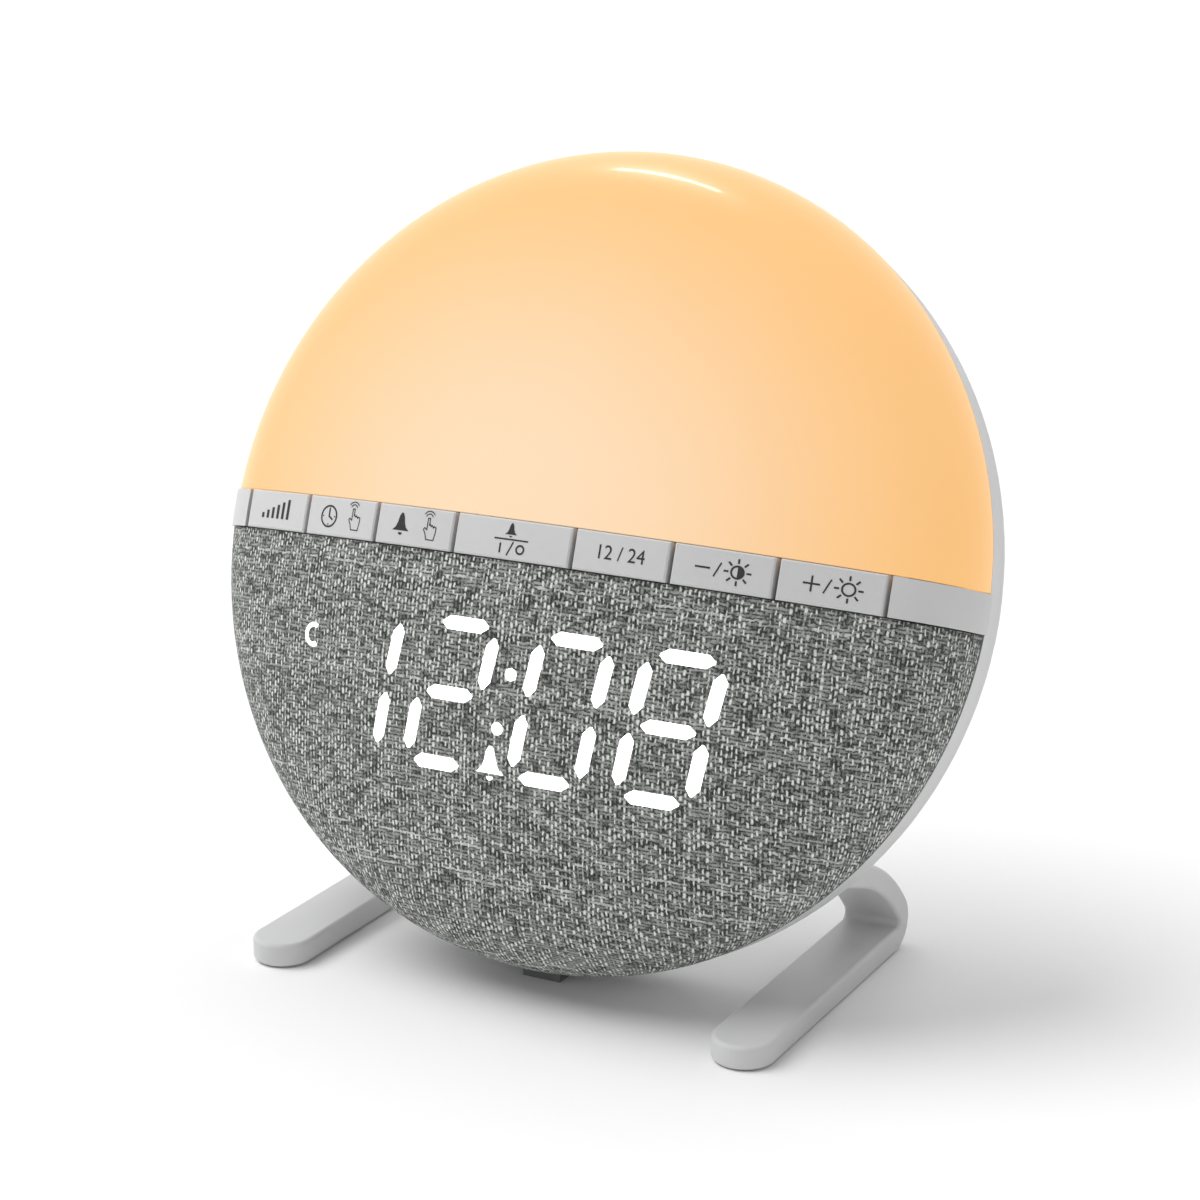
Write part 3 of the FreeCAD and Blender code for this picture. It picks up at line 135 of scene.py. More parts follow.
class Graph:
    """One material's nodes, written as arithmetic."""

    def __init__(self, name):
        self.material = bpy.data.materials.new(name)
        self.material.use_nodes = True
        self.nodes = self.material.node_tree.nodes
        self.links = self.material.node_tree.links
        self.shader = self.nodes["Principled BSDF"]

    def feed(self, socket, value):
        if isinstance(value, Value):
            self.links.new(value.socket, socket)
        else:
            socket.default_value = value

    def node(self, kind, output, inputs, **settings):
        made = self.nodes.new(kind)
        for name, value in settings.items():
            setattr(made, name, value)
        for name, value in inputs.items():
            self.feed(made.inputs[name], value)
        return Value(self, made.outputs[output])

    def maths(self, operation, one, other=0.0):
        return self.node("ShaderNodeMath", 0, {0: one, 1: other}, operation=operation)

    def clamp(self, value):
        return self.node("ShaderNodeClamp", 0, {"Value": value})

    def ramp(self, value, low, high, start=0.0, end=1.0):
        """A smooth change from start to end while the value goes from low to high."""
        return self.node(
            "ShaderNodeMapRange", "Result",
            {"Value": value, "From Min": low, "From Max": high, "To Min": start, "To Max": end},
            interpolation_type="SMOOTHSTEP")

    def off_middle(self, value):
        """How far a value is from the middle of its whole-number cell: 0 there, 1 at the cell's ends."""
        return self.maths("ABSOLUTE", 2 * self.maths("FRACT", value) - 1)

    def point(self, scale=(1, 1, 1), on_face=True):
        """Place on the object in millimetres, in the face's frame or the part's."""
        place = self.node("ShaderNodeTexCoord", "Object", {})
        inputs = {"Vector": place, "Scale": [MM / one for one in scale]}
        if on_face:
            inputs["Location"] = FACE_PLACE * MM
            inputs["Rotation"] = (math.pi / 2 - LEAN, 0, 0)
        return self.node("ShaderNodeMapping", "Vector", inputs, vector_type="TEXTURE")

    def split(self, vector):
        made = self.nodes.new("ShaderNodeSeparateXYZ")
        self.feed(made.inputs[0], vector)
        return [Value(self, made.outputs[name]) for name in ("X", "Y", "Z")]

    def join(self, x, y, z=0.0):
        return self.node("ShaderNodeCombineXYZ", 0, {"X": x, "Y": y, "Z": z})

    def noise(self, vector, scale, detail=2.0, rough=0.5):
        return self.node("ShaderNodeTexNoise", "Fac",
                         {"Vector": vector, "Scale": scale, "Detail": detail, "Roughness": rough})

    def chance(self, vector):
        """A different number from 0 to 1 for each whole-number place."""
        return self.node("ShaderNodeTexWhiteNoise", "Value", {"Vector": vector})

    def mix(self, share, one, other):
        inputs = {"Factor": share, MIX_FIRST: opaque(one), MIX_SECOND: opaque(other)}
        return self.node("ShaderNodeMix", MIX_RESULT, inputs, data_type="RGBA")

    def bump(self, value, distance):
        """Raise the surface by the value times a distance in millimetres."""
        inputs = {"Height": value, "Distance": distance * MM, "Strength": 1.0}
        self.set("Normal", self.node("ShaderNodeBump", "Normal", inputs))

    def set(self, name, value):
        socket = self.shader.inputs[name]
        self.feed(socket, opaque(value) if socket.type == "RGBA" else value)


# Materials

SPARK_CELL = 0.25
SPARK_DEPTH = 0.012
SCUFF_STRETCH = (0.2, 1.4, 1.4)
BRUSHED = (1, 1, 0.08)
CAST = (1, 1, 1)


def moulded(name, colour, rough=0.42):
    """Injection-moulded plastic: fine spark texture, faint unevenness of colour and gloss."""
    g = Graph(name)
    place = g.point(on_face=False)
    cloudy = g.ramp(g.noise(place, scale=0.03, detail=3), 0.35, 0.65)
    g.set("Base Color", g.mix(cloudy, shade(colour, 0.95), colour))
    spark = g.noise(place, scale=1 / SPARK_CELL, detail=3, rough=0.6)
    scuff = g.noise(g.point(SCUFF_STRETCH, on_face=False), scale=1.5)
    g.set("Roughness", rough - 0.05 + 0.1 * scuff)
    g.bump(spark, SPARK_DEPTH)
    return g.material


def rubber(name, colour):
    """Matt and mottled, with a fine rough surface."""
    g = Graph(name)
    place = g.point(on_face=False)
    g.set("Base Color", g.mix(g.noise(place, scale=0.4), colour, shade(colour, 1.8)))
    g.set("Roughness", 0.7 + 0.15 * g.noise(place, scale=2.0))
    g.bump(g.noise(place, scale=5.0, detail=3), 0.03)
    return g.material


def metal(name, colour, rough, stretch=BRUSHED):
    """Bare metal with fine lines, or grains where the stretch is even."""
    g = Graph(name)
    lines = g.noise(g.point(stretch, on_face=False), scale=6.0, detail=3)
    g.set("Base Color", g.mix(lines, shade(colour, 0.85), colour))
    g.set("Metallic", 1.0)
    g.set("Roughness", rough + 0.12 * lines)
    g.bump(lines, 0.008)
    return g.material


def circuit_board(name, colour):
    """Solder mask over copper tracks."""
    g = Graph(name)
    place = g.point()
    x, y = g.split(place)[:2]
    warped = g.noise(place, scale=0.08, detail=0) * 8
    upright = g.ramp(g.maths("PINGPONG", x + warped, 0.8), 0.45, 0.6)
    level = g.ramp(g.maths("PINGPONG", y + warped, 1.1), 0.75, 0.9)
    copper = g.maths("MAXIMUM", upright, level)
    lighter = tuple(min(channel * 1.5 + 0.02, 1) for channel in colour)
    g.set("Base Color", g.mix(copper, colour, lighter))
    g.set("Roughness", 0.3 + 0.1 * g.noise(place, scale=1.0))
    g.bump(copper, 0.04)
    return g.material


GLOW_MIDDLE = (-2, 6)
GLOW_SQUASH = 0.8
GLOW_NEAR = 8
GLOW_FAR = 82
GLOW_STRENGTH = 0.755


def glowing_plastic():
    """Milky dome lit from inside: pale peach in the middle, deeper towards its rim."""
    g = Graph("warm_diffuser_lit")
    place = g.point()
    u, v = g.split(place)[:2]
    across = u - GLOW_MIDDLE[0]
    up = v - GLOW_MIDDLE[1]
    away = g.maths("SQRT", across * across * GLOW_SQUASH + up * up)
    uneven = g.noise(place, scale=0.02) - 0.5
    warmth = g.clamp(g.ramp(away, GLOW_NEAR, GLOW_FAR) + 0.12 * uneven)
    g.set("Base Color", g.mix(warmth, (0.27, 0.19, 0.12), (0.27, 0.16, 0.07)))
    g.set("Emission Color", g.mix(warmth, (1.0, 0.75, 0.51), (1.0, 0.56, 0.20)))
    g.set("Emission Strength", GLOW_STRENGTH)
    g.set("Roughness", 0.30 + 0.06 * g.noise(place, scale=0.6))
    g.set("Specular IOR Level", 0.2)
    g.set("Coat Weight", 0.2)
    g.set("Coat Roughness", 0.08)
    g.set("Subsurface Weight", 0.2)
    g.set("Subsurface Radius", (0.004, 0.003, 0.002))
    g.bump(g.noise(place, scale=3.0), 0.004)
    return g.material


# The cloth's map holds flat places in units of 100 mm. The warp runs down the
# cloth and the weft across it, with two weft picks to each slub of the warp.

CLOTH_MAP = "cloth"
CLOTH_UNIT = 100.0
WARP_PITCH = 0.92
WEFT_PITCH = 1.45
PICKS_PER_SLUB = 2.0
YARN_DRIFT = 0.8


def wander(g, s, t, slow_seed, fast_seed, fast_scale, fast_share):
    """Slow and quick drift of a yarn about its straight place, around 0."""
    slow = g.noise(g.join(s, t, slow_seed), scale=0.3)
    quick = g.noise(g.join(s, t, fast_seed), scale=fast_scale, detail=1)
    return slow - 0.5 + fast_share * (quick - 0.5)


def warp_slubs(g, t, x, y):
    """Short thick places of the warp, staggered from column to column: their shape and their tone."""
    column = g.maths("FLOOR", x)
    stagger = 0.5 * g.maths("PINGPONG", column, 1.0) + 0.35 * g.chance(g.join(column, 5.0))
    place = y + stagger
    row = g.maths("FLOOR", place)
    width = 0.36 + 0.42 * g.chance(g.join(column, row, 2.0))
    across = g.ramp(g.off_middle(x) / width, 0.4, 1.2, 1.0, 0.0)
    along = g.ramp(g.off_middle(place), 0.4, 1.0, 1.0, 0.0)
    chosen = g.ramp(g.chance(g.join(column, 11.0)), 0.82, 0.9)
    stretch = g.ramp(g.noise(g.join(column * 3.7, t * 0.1), scale=1.0, detail=1), 0.48, 0.62)
    shape = across * g.maths("MAXIMUM", along, 0.6 * (chosen * stretch))
    tone = g.ramp(g.chance(g.join(column, row)), 0.0, 0.85, 0.16, 1.0)
    return shape, tone


def weft_picks(g, s, y):
    """Yarns across the cloth, some of them light, that show in broken stretches: shape and brightness."""
    pick = y * PICKS_PER_SLUB
    line = g.maths("FLOOR", pick)
    shape = g.ramp(g.off_middle(pick), 0.35, 1.0, 1.0, 0.0)
    tone = g.ramp(g.chance(g.join(line, 9.0)), 0.86, 0.94, 0.4, 0.72)
    broken = g.ramp(g.noise(g.join(s * 0.35, line * 3.1), scale=1.0), 0.35, 0.6)
    return shape, shape * tone * broken


def woven(name, dark, light):
    """Coarse melange weave: short light slubs down the cloth on a dark ground, with stray light yarns, and
    painted shade darkening the cloth towards the seam.
    """
    g = Graph(name)
    across, down = g.split(g.node("ShaderNodeUVMap", "UV", {}, uv_map=CLOTH_MAP))[:2]
    s = across * CLOTH_UNIT
    t = down * CLOTH_UNIT
    x = (s + YARN_DRIFT * wander(g, s, t, 0.0, 3.0, 1.6, 0.4)) / WARP_PITCH
    y = (t + YARN_DRIFT * wander(g, s, t, 7.0, 5.0, 1.2, 0.9)) / WEFT_PITCH
    slub, slub_tone = warp_slubs(g, t, x, y)
    weft, weft_light = weft_picks(g, s, y)
    fibre = g.noise(g.join(s, t * 0.5), scale=3.6, detail=3, rough=0.7)
    bright = g.maths("MAXIMUM", slub * slub_tone, weft_light) + 0.75 * (fibre - 0.5)
    # Painted shade: the cloth fades to its dark ground where it comes within 1.1 mm of the seam, standing in
    # for the shadow in the gap at the rim.
    w = g.split(g.point())[2]
    painted_seam_shade = g.ramp(w, 0.3, 1.1)
    g.set("Base Color", g.mix(g.clamp(bright * painted_seam_shade), dark, light))
    g.set("Roughness", 0.9)
    g.set("Sheen Weight", 0.08)
    g.set("Sheen Roughness", 0.5)
    g.bump(g.maths("MAXIMUM", slub, 0.8 * weft) + 0.3 * fibre, 0.22)
    return g.material


def print_ink(name, colour):
    g = Graph(name)
    place = g.point()
    lighter = tuple(channel + 0.01 for channel in colour)
    g.set("Base Color", g.mix(g.noise(place, scale=2.5), colour, lighter))
    g.set("Roughness", 0.5 + 0.1 * g.noise(place, scale=1.5))
    return g.material


LIT_COLOUR = (1.0, 1.0, 0.97)
LIT_STRENGTH = 1.6


def lit(name):
    g = Graph(name)
    glow = g.noise(g.point(), scale=0.4, detail=1)
    g.set("Base Color", g.mix(glow, (0.8, 0.8, 0.78), (0.85, 0.85, 0.84)))
    g.set("Emission Color", g.mix(glow, LIT_COLOUR, (1.0, 1.0, 1.0)))
    g.set("Emission Strength", LIT_STRENGTH)
    g.set("Roughness", 0.6)
    return g.material


light_plastic = moulded("light_plastic_satin", (0.66, 0.66, 0.665))
white_plastic = moulded("white_plastic_inner", (0.82, 0.82, 0.81))
dark_plastic = moulded("dark_plastic_shell", (0.03, 0.03, 0.032), rough=0.6)
black_plastic = moulded("black_plastic_moulded", (0.02, 0.02, 0.022), rough=0.5)
steel = metal("zinc_plated_steel", (0.62, 0.63, 0.66), 0.3)
bright_steel = metal("bright_rolled_steel", (0.72, 0.72, 0.71), 0.18)
plated = metal("plated_contact_brass", (0.78, 0.66, 0.38), 0.22)
black_rubber = rubber("black_rubber_matt", (0.02, 0.02, 0.021))
green_board = circuit_board("green_solder_mask", (0.02, 0.10, 0.04))
white_board = circuit_board("white_solder_mask", (0.72, 0.73, 0.72))
lamp_face = moulded("lamp_lens_yellow", (0.82, 0.72, 0.30), rough=0.2)
milky = moulded("milky_segment_plastic", (0.80, 0.82, 0.80), rough=0.35)
cone_paper = rubber("speaker_paper_black", (0.018, 0.018, 0.018))
ferrite = metal("ferrite_dark_grey", (0.10, 0.10, 0.105), 0.5, CAST)
red_jacket = rubber("red_lead_jacket", (0.30, 0.015, 0.012))
ribbon_film = moulded("ribbon_film_white", (0.72, 0.72, 0.68), rough=0.35)
grey_rubber = rubber("grey_rubber_foot", (0.13, 0.13, 0.13))
lit_dome = glowing_plastic()

GROUPS = {
    light_plastic: [
        "control_bar", "rear_cover", "battery_door", "right_leg", "left_leg", "brightness_key", "time_key",
        "alarm_key", "alarm_switch_key", "hour_mode_key", "minus_key", "plus_key"],
    white_plastic: ["reflector", "display_housing"],
    dark_plastic: ["front_shell"],
    black_plastic: [
        "tact_switches", "power_inlet", "board_components", "brightness_plunger", "time_plunger",
        "alarm_plunger", "alarm_switch_plunger", "hour_mode_plunger", "minus_plunger", "plus_plunger"],
    steel: [
        "key_board_screws", "display_screws", "main_board_screws", "speaker_screws", "leg_screws",
        "case_screws", "speaker_frame"],
    bright_steel: ["coin_cell"],
    plated: ["inlet_pin", "battery_contacts"],
    black_rubber: ["right_foot_pad", "left_foot_pad", "speaker_gasket"],
    grey_rubber: ["centre_foot"],
    green_board: ["key_board", "display_board", "main_board"],
    white_board: ["light_board"],
    lamp_face: ["light_lamps", "display_lamps"],
    milky: ["display_segments"],
    cone_paper: ["speaker_cone"],
    ferrite: ["speaker_magnet"],
    red_jacket: ["speaker_leads"],
    ribbon_film: ["display_ribbon", "key_ribbon", "light_ribbon"],
    lit_dome: ["diffuser"],
}


def dress(name, material):
    """Give a solid its material through the object's own slots."""
    for slot in nodes[name].material_slots:
        slot.link = "OBJECT"
        slot.material = material


for material, names in GROUPS.items():
    for name in names:
        dress(name, material)


# Mesh pieces

def new_piece(name, points, faces, material, body="clock"):
    mesh = bpy.data.meshes.new(name)
    mesh.from_pydata([tuple(point) for point in points], [], faces)
    mesh.update()
    piece = bpy.data.objects.new(name, mesh)
    bpy.context.scene.collection.objects.link(piece)
    mesh.materials.append(material)
    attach(piece, body)
    return piece


def thicken(piece, thick, outward=False):
    skin = piece.modifiers.new("thickness", "SOLIDIFY")
    skin.thickness = thick * MM
    skin.offset = 1 if outward else -1


# Fabric cover: one sheet stretched over the lower half of the dome. Its hem stops
# just short of the seam, and its last row is kept from closing to a point.

FABRIC_STEP = 0.75
FABRIC_THICK = 0.7
FABRIC_COLUMNS = 300
FINE_STEPS = 240
HEM_SHARE = 0.9985
NARROWEST = 0.02


def meridian_point(length):
    """Radius at an arc length from the dome's top."""
    if length <= CAP_ARC:
        return CAP_RADIUS * math.sin(length / CAP_RADIUS)
    turn = math.asin(JOIN_SIN) + (length - CAP_ARC) / SHOULDER_RADIUS
    return SHOULDER_CENTRE + SHOULDER_RADIUS * math.sin(turn)


def across_dome(down, rim):
    """A line over the dome, at a distance below its middle: u at fine steps, and the arc length to each."""
    half = math.sqrt(max(rim * rim - down * down, NARROWEST ** 2))
    line = [half * math.sin(math.pi / 2 * (2 * step / FINE_STEPS - 1)) for step in range(FINE_STEPS + 1)]
    heights = [height(math.hypot(u, down)) for u in line]
    lengths = [0.0]
    for step in range(FINE_STEPS):
        run = math.hypot(line[step + 1] - line[step], heights[step + 1] - heights[step])
        lengths.append(lengths[-1] + run)
    return line, lengths


def even_columns(line, lengths):
    """u at even arc lengths along a line, each with its arc length from the middle."""
    columns = []
    place = 0
    for column in range(FABRIC_COLUMNS + 1):
        wanted = lengths[-1] * column / FABRIC_COLUMNS
        while place < FINE_STEPS - 1 and lengths[place + 1] < wanted:
            place += 1
        span = lengths[place + 1] - lengths[place]
        share = (wanted - lengths[place]) / span if span else 0
        share = min(max(share, 0), 1)
        u = line[place] + (line[place + 1] - line[place]) * share
        columns.append((u, wanted - lengths[-1] / 2))
    return columns


def cloth_mesh():
    """Points, faces and flat places of the cloth, in rows from the key strip down to the rim."""
    rim = math.sqrt(SHOULDER_RADIUS ** 2 - SEAM_GAP ** 2) + SHOULDER_CENTRE
    rows = int(DOME_ARC / FABRIC_STEP)
    points = []
    flat = []
    for row in range(rows + 1):
        out = STRIP_EDGE + (DOME_ARC - STRIP_EDGE) * row / rows * HEM_SHARE
        down = meridian_point(out)
        line, lengths = across_dome(down, rim)
        for u, along in even_columns(line, lengths):
            points.append(in_part(u, -down, max(height(math.hypot(u, down)), SEAM_GAP)))
            flat.append((along / CLOTH_UNIT, out / CLOTH_UNIT))
    wide = FABRIC_COLUMNS + 1
    faces = []
    for row in range(rows):
        for corner in range(row * wide, row * wide + FABRIC_COLUMNS):
            faces.append((corner, corner + wide, corner + wide + 1, corner + 1))
    return points, faces, flat


def fabric_cover():
    points, faces, flat = cloth_mesh()
    cloth = woven("grey_melange_weave", (0.022, 0.027, 0.024), (0.88, 0.90, 0.86))
    piece = new_piece("fabric_cover_cloth", points, faces, cloth)
    layer = piece.data.uv_layers.new(name=CLOTH_MAP)
    for loop in piece.data.loops:
        layer.data[loop.index].uv = flat[loop.vertex_index]
    for polygon in piece.data.polygons:
        polygon.use_smooth = True
    thicken(piece, FABRIC_THICK)
    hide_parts("fabric_cover")


fabric_cover()


# Flat marks laid on the dome, printed or lit

MARK_LIFT = 0.03
MARK_RUN = 1.5
STROKE_OVER = 0.6
RING_STEP = 12
RING_RUNS = 12


class Marks:
    """Flat shapes in the face's u and v, joined into one thin piece that follows the dome."""

    def __init__(self, lift):
        self.lift = lift
        self.points = []
        self.faces = []

    def add(self, outline):
        start = len(self.points)
        self.points += [on_dome(u, v, self.lift) for u, v in outline]
        self.faces.append(tuple(range(start, start + len(outline))))

    def stroke(self, line, width, closed=False):
        """A line of even width, cut into short runs so that it follows the dome."""
        line = list(line)
        if closed:
            line.append(line[0])
        for (au, av), (bu, bv) in zip(line, line[1:]):
            long = math.hypot(bu - au, bv - av)
            nu, nv = -(bv - av) / long * width / 2, (bu - au) / long * width / 2
            over = width / 2 * STROKE_OVER
            du, dv = (bu - au) / long * over, (bv - av) / long * over
            steps = max(1, int(long / MARK_RUN))
            au, av, bu, bv = au - du, av - dv, bu + du, bv + dv
            for step in range(steps):
                s, t = step / steps, (step + 1) / steps
                su, sv = au + (bu - au) * s, av + (bv - av) * s
                tu, tv = au + (bu - au) * t, av + (bv - av) * t
                self.add([(su - nu, sv - nv), (tu - nu, tv - nv), (tu + nu, tv + nv), (su + nu, sv + nv)])

    def ring(self, u, v, radius, width, start=0.0, end=360.0):
        """A ring or an arc of one, in straight runs. Its turns are in degrees."""
        count = max(RING_RUNS, int(abs(end - start) / RING_STEP))
        turns = [math.radians(start + (end - start) * step / count) for step in range(count + 1)]
        inner = radius - width / 2
        outer = radius + width / 2
        for one, two in zip(turns, turns[1:]):
            self.add([(u + reach * math.cos(turn), v + reach * math.sin(turn)) for reach, turn in (
                (inner, one), (outer, one), (outer, two), (inner, two))])

    def disc(self, u, v, radius, start=0.0, end=360.0):
        self.ring(u, v, radius / 2, radius, start, end)

    def piece(self, name, material, thick, slot, body="clock"):
        made = new_piece(name, self.points, self.faces, material, body)
        thicken(made, thick, outward=True)


def bell(marks, u, v, size):
    """Small bell: body flaring to its mouth, and a clapper."""
    profile = [(3.4, 0.35), (2.3, 0.95), (0.6, 1.3), (-0.9, 1.9), (-1.9, 3.1)]
    for (high, wide), (low, wider) in zip(profile, profile[1:]):
        marks.add([(u - wide * size, v + high * size), (u - wider * size, v + low * size),
                   (u + wider * size, v + low * size), (u + wide * size, v + high * size)])
    marks.disc(u, v - 2.5 * size, 0.75 * size, 180, 360)


# Lit time, laid on the cloth. A digit's bars go by their usual letters: a, g and d
# level from the top down, f and b upright above, e and c upright below. An
# upright has its side, and its lower and upper end as shares of the digit's reach.

LIT_THICK = 0.03
DIGIT_SLANT = math.tan(math.radians(10))
DIGIT_V = -31.1
DIGIT_SIDE = 7.1
DIGIT_REACH = 13.75
BAR_HALF = 1.38
BAR_GAP = 1.85
BAR_TAPER = 1.5
BAR_TIP = 0.25
BAR_RUNS = 4
DIGITS = [(-32.3, "1"), (-10.2, "2"), (13.9, "0"), (35.6, "8")]
LEVELS = {"a": DIGIT_REACH, "g": 0.0, "d": -DIGIT_REACH}
UPRIGHTS = {"f": (-1, 0, 1), "b": (1, 0, 1), "e": (-1, -1, 0), "c": (1, -1, 0)}
SHAPES = {"1": "bc", "2": "agdbe", "0": "adfbec", "8": "agdfbec"}
COLON_DOTS = [(3.2, -25.6), (1.0, -36.3)]
COLON_RADIUS = 1.25
ALARM_MARK = (-0.25, -43.2)
NIGHT_MARK = (-46.2, -23.9)
NIGHT_RADIUS = 2.0
NIGHT_WIDTH = 0.9


def bar(marks, middle, one, other):
    """A bar with pointed ends from one point to the other, upright before its slant."""
    (ax, ay), (bx, by) = one, other
    long = math.hypot(bx - ax, by - ay)
    du, dv = (bx - ax) / long, (by - ay) / long
    inner = long - 2 * BAR_TAPER
    stations = [(0, BAR_TIP)]
    stations += [(BAR_TAPER + inner * step / BAR_RUNS, BAR_HALF) for step in range(BAR_RUNS + 1)]
    stations.append((long, BAR_TIP))

    def place(along, side):
        x = ax + du * along - dv * side
        y = ay + dv * along + du * side
        return middle + x + y * DIGIT_SLANT, DIGIT_V + y

    for (s, half_s), (t, half_t) in zip(stations, stations[1:]):
        marks.add([place(s, -half_s), place(t, -half_t), place(t, half_t), place(s, half_s)])


def lit_time():
    marks = Marks(MARK_LIFT)
    for middle, digit in DIGITS:
        for letter in SHAPES[digit]:
            if letter in LEVELS:
                y = LEVELS[letter]
                bar(marks, middle, (-DIGIT_SIDE + BAR_GAP, y), (DIGIT_SIDE - BAR_GAP, y))
            else:
                side, low, high = UPRIGHTS[letter]
                bar(marks, middle, (side * DIGIT_SIDE, low * DIGIT_REACH + BAR_GAP),
                    (side * DIGIT_SIDE, high * DIGIT_REACH - BAR_GAP))
    for u, v in COLON_DOTS:
        marks.disc(u, v, COLON_RADIUS)
    bell(marks, *ALARM_MARK, 1.0)
    marks.piece("lit_time", lit("lit_white"), LIT_THICK, "milky_segments")


def lit_night_mark():
    """A small crescent to the left of the time."""
    marks = Marks(MARK_LIFT)
    marks.ring(*NIGHT_MARK, NIGHT_RADIUS, NIGHT_WIDTH, 60, 300)
    marks.piece("lit_night_mark", lit("lit_white_mark"), LIT_THICK, "milky_segments")


lit_time()
lit_night_mark()


# Printed marks on the keys, each placed from the middle of its key

INK = print_ink("black_key_print", (0.012, 0.012, 0.012))
PRINT_LIFT = STRIP_PROUD + MARK_LIFT
PRINT_THICK = 0.02
LINE = 0.36
THIN_LINE = 0.2
KEY_MIDDLES = {
    "brightness": -62.0, "time": -42.25, "alarm": -22.75, "alarm_switch": 0.0,
    "hour_mode": 22.75, "minus": 42.25, "plus": 62.0}
LEFT_MARK = -3.2
HAND_MARK = 4.2
SIGN_MARK = -3.6
SIGN_V = 0.1
SLASH_MARK = -0.8
SUN_MARK = 2.9
NUMBER_SIZE = 3.9
NUMBER_SQUEEZE = 0.9


def sun(marks, u, v, half):
    """A sun with eight rays, its right half filled where half is true."""
    radius = 1.15
    near = 1.75
    far = 2.45
    marks.ring(u, v, radius, LINE)
    if half:
        marks.disc(u, v, radius, -90, 90)
    for step in range(8):
        turn = math.radians(45 * step)
        marks.stroke([(u + near * math.cos(turn), v + near * math.sin(turn)),
                      (u + far * math.cos(turn), v + far * math.sin(turn))], LINE)


def pressing_hand(marks, u, v):
    """A hand that holds a key down, with two arcs at its finger's tip."""
    outline = [(-0.9, -2.2), (0.9, -2.2), (1.15, -0.9), (1.2, 0.3), (0.7, 0.5), (0.6, 0.2), (0.2, 0.7),
               (0.0, 0.4), (-0.3, 0.9), (-0.45, 0.6), (-0.45, 2.0), (-0.95, 2.0), (-0.95, -0.3), (-1.5, 0.1),
               (-1.75, -0.25), (-1.2, -1.2)]
    marks.stroke([(u + x, v + y) for x, y in outline], THIN_LINE, closed=True)
    marks.ring(u - 0.7, v + 2.0, 0.85, THIN_LINE, 20, 160)
    marks.ring(u - 0.7, v + 2.0, 1.4, THIN_LINE, 30, 150)


def clock_face(marks, u, v):
    """A dial with two hands and four dots."""
    dot_ring = 1.6
    dot = 0.16
    marks.ring(u, v, 2.1, LINE)
    marks.stroke([(u, v + 1.4), (u, v), (u + 1.0, v - 0.6)], LINE)
    for step in range(4):
        turn = math.radians(90 * step)
        marks.disc(u + dot_ring * math.cos(turn), v + dot_ring * math.sin(turn), dot)


def slash(marks, u, v):
    marks.stroke([(u - 0.55, v - 1.3), (u + 0.55, v + 1.3)], LINE * 0.8)


def brightness_marks(marks, u):
    """Six bars that rise to the right."""
    foot = -1.5
    rise = 0.6
    for step in range(6):
        x = u - 4.0 + step * 1.6
        marks.stroke([(x, foot), (x, foot + rise * (step + 1))], 0.75)


def time_marks(marks, u):
    clock_face(marks, u + LEFT_MARK, 0)
    pressing_hand(marks, u + HAND_MARK, 0)


def alarm_marks(marks, u):
    bell(marks, u + LEFT_MARK, 0.2, 0.66)
    pressing_hand(marks, u + HAND_MARK, 0)


def alarm_switch_marks(marks, u):
    """A bell over a line, and the strokes for on and off under it."""
    side = 2.2
    under = -1.75
    bell(marks, u - 0.2, 1.75, 0.42)
    marks.stroke([(u - 3.6, 0), (u + 3.6, 0)], 0.3)
    marks.stroke([(u - side, under - 0.85), (u - side, under + 0.85)], LINE)
    slash(marks, u, under)
    marks.ring(u + side, under, 0.8, LINE)


def minus_marks(marks, u):
    half = 1.3
    sign = u + SIGN_MARK
    marks.stroke([(sign - half, SIGN_V), (sign + half, SIGN_V)], LINE)
    slash(marks, u + SLASH_MARK, 0)
    sun(marks, u + SUN_MARK, 0, True)


def plus_marks(marks, u):
    half = 1.4
    sign = u + SIGN_MARK
    marks.stroke([(sign - half, SIGN_V), (sign + half, SIGN_V)], LINE)
    marks.stroke([(sign, SIGN_V - half), (sign, SIGN_V + half)], LINE)
    slash(marks, u + SLASH_MARK, 0)
    sun(marks, u + SUN_MARK, 0, False)


def hour_numbers():
    """Plain numbers 12 and 24, as outlines wrapped on the key."""
    curve = bpy.data.curves.new("hour_numbers", "FONT")
    curve.body = "12 / 24"
    curve.size = NUMBER_SIZE
    curve.align_x = "CENTER"
    curve.align_y = "CENTER"
    text = bpy.data.objects.new("hour_numbers", curve)
    bpy.context.scene.collection.objects.link(text)
    bpy.context.view_layer.update()
    mesh = bpy.data.meshes.new_from_object(text)
    bpy.data.objects.remove(text)
    middle = KEY_MIDDLES["hour_mode"]
    points = [on_dome(middle + point.co.x * NUMBER_SQUEEZE, point.co.y, PRINT_LIFT)
              for point in mesh.vertices]
    faces = [tuple(polygon.vertices) for polygon in mesh.polygons]
    made = new_piece("hour_mode_key_print", points, faces, INK, "hour_mode_button")
    thicken(made, PRINT_THICK, outward=True)


KEY_MARKS = {
    "brightness": brightness_marks, "time": time_marks, "alarm": alarm_marks,
    "alarm_switch": alarm_switch_marks, "minus": minus_marks, "plus": plus_marks}

for name, draw in KEY_MARKS.items():
    marks = Marks(PRINT_LIFT)
    draw(marks, KEY_MIDDLES[name])
    marks.piece(name + "_key_print", INK, PRINT_THICK, "black_plastic", name + "_button")
hour_numbers()


# Camera at the photograph's angle

AZIMUTH = math.radians(27.85)
ELEVATION = math.radians(16.12)
DISTANCE = 593.18
RIGHTWARD = 0.29
DOWNWARD = 7.97
LENS = 87.44
SENSOR = 36
NEAR_CLIP = 0.01
FAR_CLIP = 50


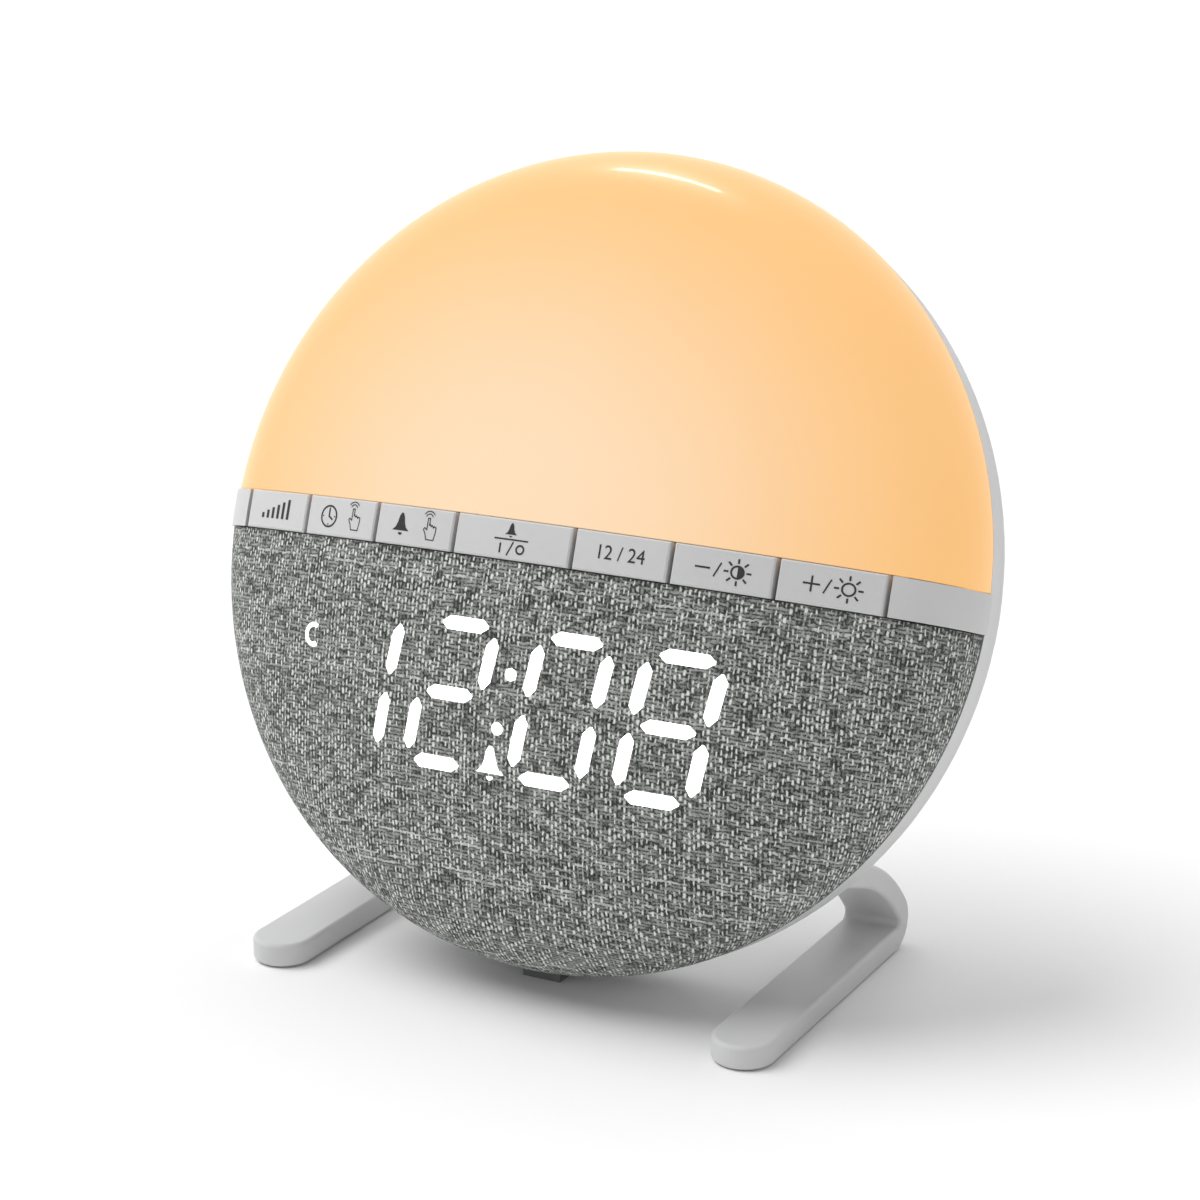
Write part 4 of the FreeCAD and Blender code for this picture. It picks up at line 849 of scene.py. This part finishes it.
def photo_camera():
    back = Vector((math.sin(AZIMUTH) * math.cos(ELEVATION), -math.cos(AZIMUTH) * math.cos(ELEVATION),
                   math.sin(ELEVATION)))
    right = Vector((math.cos(AZIMUTH), math.sin(AZIMUTH), 0))
    up = back.cross(right)
    data = bpy.data.cameras.new("camera")
    data.lens = LENS
    data.sensor_width = SENSOR
    data.clip_start = NEAR_CLIP
    data.clip_end = FAR_CLIP
    camera = bpy.data.objects.new("camera", data)
    bpy.context.scene.collection.objects.link(camera)
    spot = (FACE_PLACE + back * DISTANCE + right * RIGHTWARD - up * DOWNWARD) * MM
    turn = Matrix((right, up, back)).transposed().to_4x4()
    camera.matrix_world = Matrix.Translation(spot) @ turn
    bpy.context.scene.camera = camera


# Floor, world and lamps, in metres

FLOOR_REACH = 6.0
FLOOR_COLOUR = (0.98, 0.98, 0.98)
WORLD_LIGHT = 0.4
BACKGROUND_LIGHT = 1.0
WHITE = (1, 1, 1, 1)


def floor():
    mesh = bpy.data.meshes.new("floor")
    corners = [(-1, -1), (1, -1), (1, 1), (-1, 1)]
    mesh.from_pydata([(x * FLOOR_REACH, y * FLOOR_REACH, 0) for x, y in corners], [], [(0, 1, 2, 3)])
    piece = bpy.data.objects.new("floor", mesh)
    bpy.context.scene.collection.objects.link(piece)
    g = Graph("pale_floor")
    g.set("Base Color", FLOOR_COLOUR)
    g.set("Roughness", 0.8)
    g.set("Specular IOR Level", 0.1)
    mesh.materials.append(g.material)


def world():
    """A dim white light all round, seen as plain white directly and in gloss or glass."""
    sky = bpy.data.worlds.new("studio")
    bpy.context.scene.world = sky
    sky.use_nodes = True
    tree = sky.node_tree
    plain = tree.nodes["Background"]
    plain.inputs["Color"].default_value = WHITE
    plain.inputs["Strength"].default_value = WORLD_LIGHT
    seen = tree.nodes.new("ShaderNodeBackground")
    seen.inputs["Color"].default_value = WHITE
    seen.inputs["Strength"].default_value = BACKGROUND_LIGHT
    path = tree.nodes.new("ShaderNodeLightPath")
    mixer = tree.nodes.new("ShaderNodeMixShader")
    shown = path.outputs["Is Camera Ray"]
    for kind in ("Is Glossy Ray", "Is Transmission Ray"):
        either = tree.nodes.new("ShaderNodeMath")
        either.operation = "MAXIMUM"
        tree.links.new(shown, either.inputs[0])
        tree.links.new(path.outputs[kind], either.inputs[1])
        shown = either.outputs[0]
    tree.links.new(shown, mixer.inputs[0])
    tree.links.new(plain.outputs[0], mixer.inputs[1])
    tree.links.new(seen.outputs[0], mixer.inputs[2])
    tree.links.new(mixer.outputs[0], tree.nodes["World Output"].inputs["Surface"])


def wide_lamp(name, place, strength, spread):
    """A far lamp, its spread in degrees, which adds no gloss."""
    data = bpy.data.lights.new(name, "SUN")
    data.energy = strength
    data.angle = math.radians(spread)
    made = bpy.data.objects.new(name, data)
    bpy.context.scene.collection.objects.link(made)
    made.rotation_euler = Vector(place).to_track_quat("Z", "Y").to_euler()
    made.visible_glossy = False


def strip_lamp(name, place, along, size, power):
    """A long lamp turned to the dome, which adds gloss and no diffuse light."""
    data = bpy.data.lights.new(name, "AREA")
    data.shape = "RECTANGLE"
    data.size, data.size_y = size
    data.energy = power
    made = bpy.data.objects.new(name, data)
    bpy.context.scene.collection.objects.link(made)
    outward = (Vector(place) - FACE_PLACE * MM).normalized()
    side = outward.cross(Vector(along)).normalized()
    turn = Matrix((side.cross(outward), side, outward)).transposed().to_4x4()
    made.matrix_world = Matrix.Translation(Vector(place)) @ turn
    made.visible_diffuse = False


photo_camera()
floor()
world()
wide_lamp("key_lamp", place=(-0.6, -0.22, 1.0), strength=1.9, spread=45)
wide_lamp("back_lamp", place=(-0.1, 0.5, 0.9), strength=0.7, spread=60)
strip_lamp("strip_lamp", place=(-0.31, 0.44, 0.95), along=(0.9, -0.27, 0.3), size=(0.34, 0.05), power=2.2)
bpy.context.scene.view_settings.view_transform = "Standard"
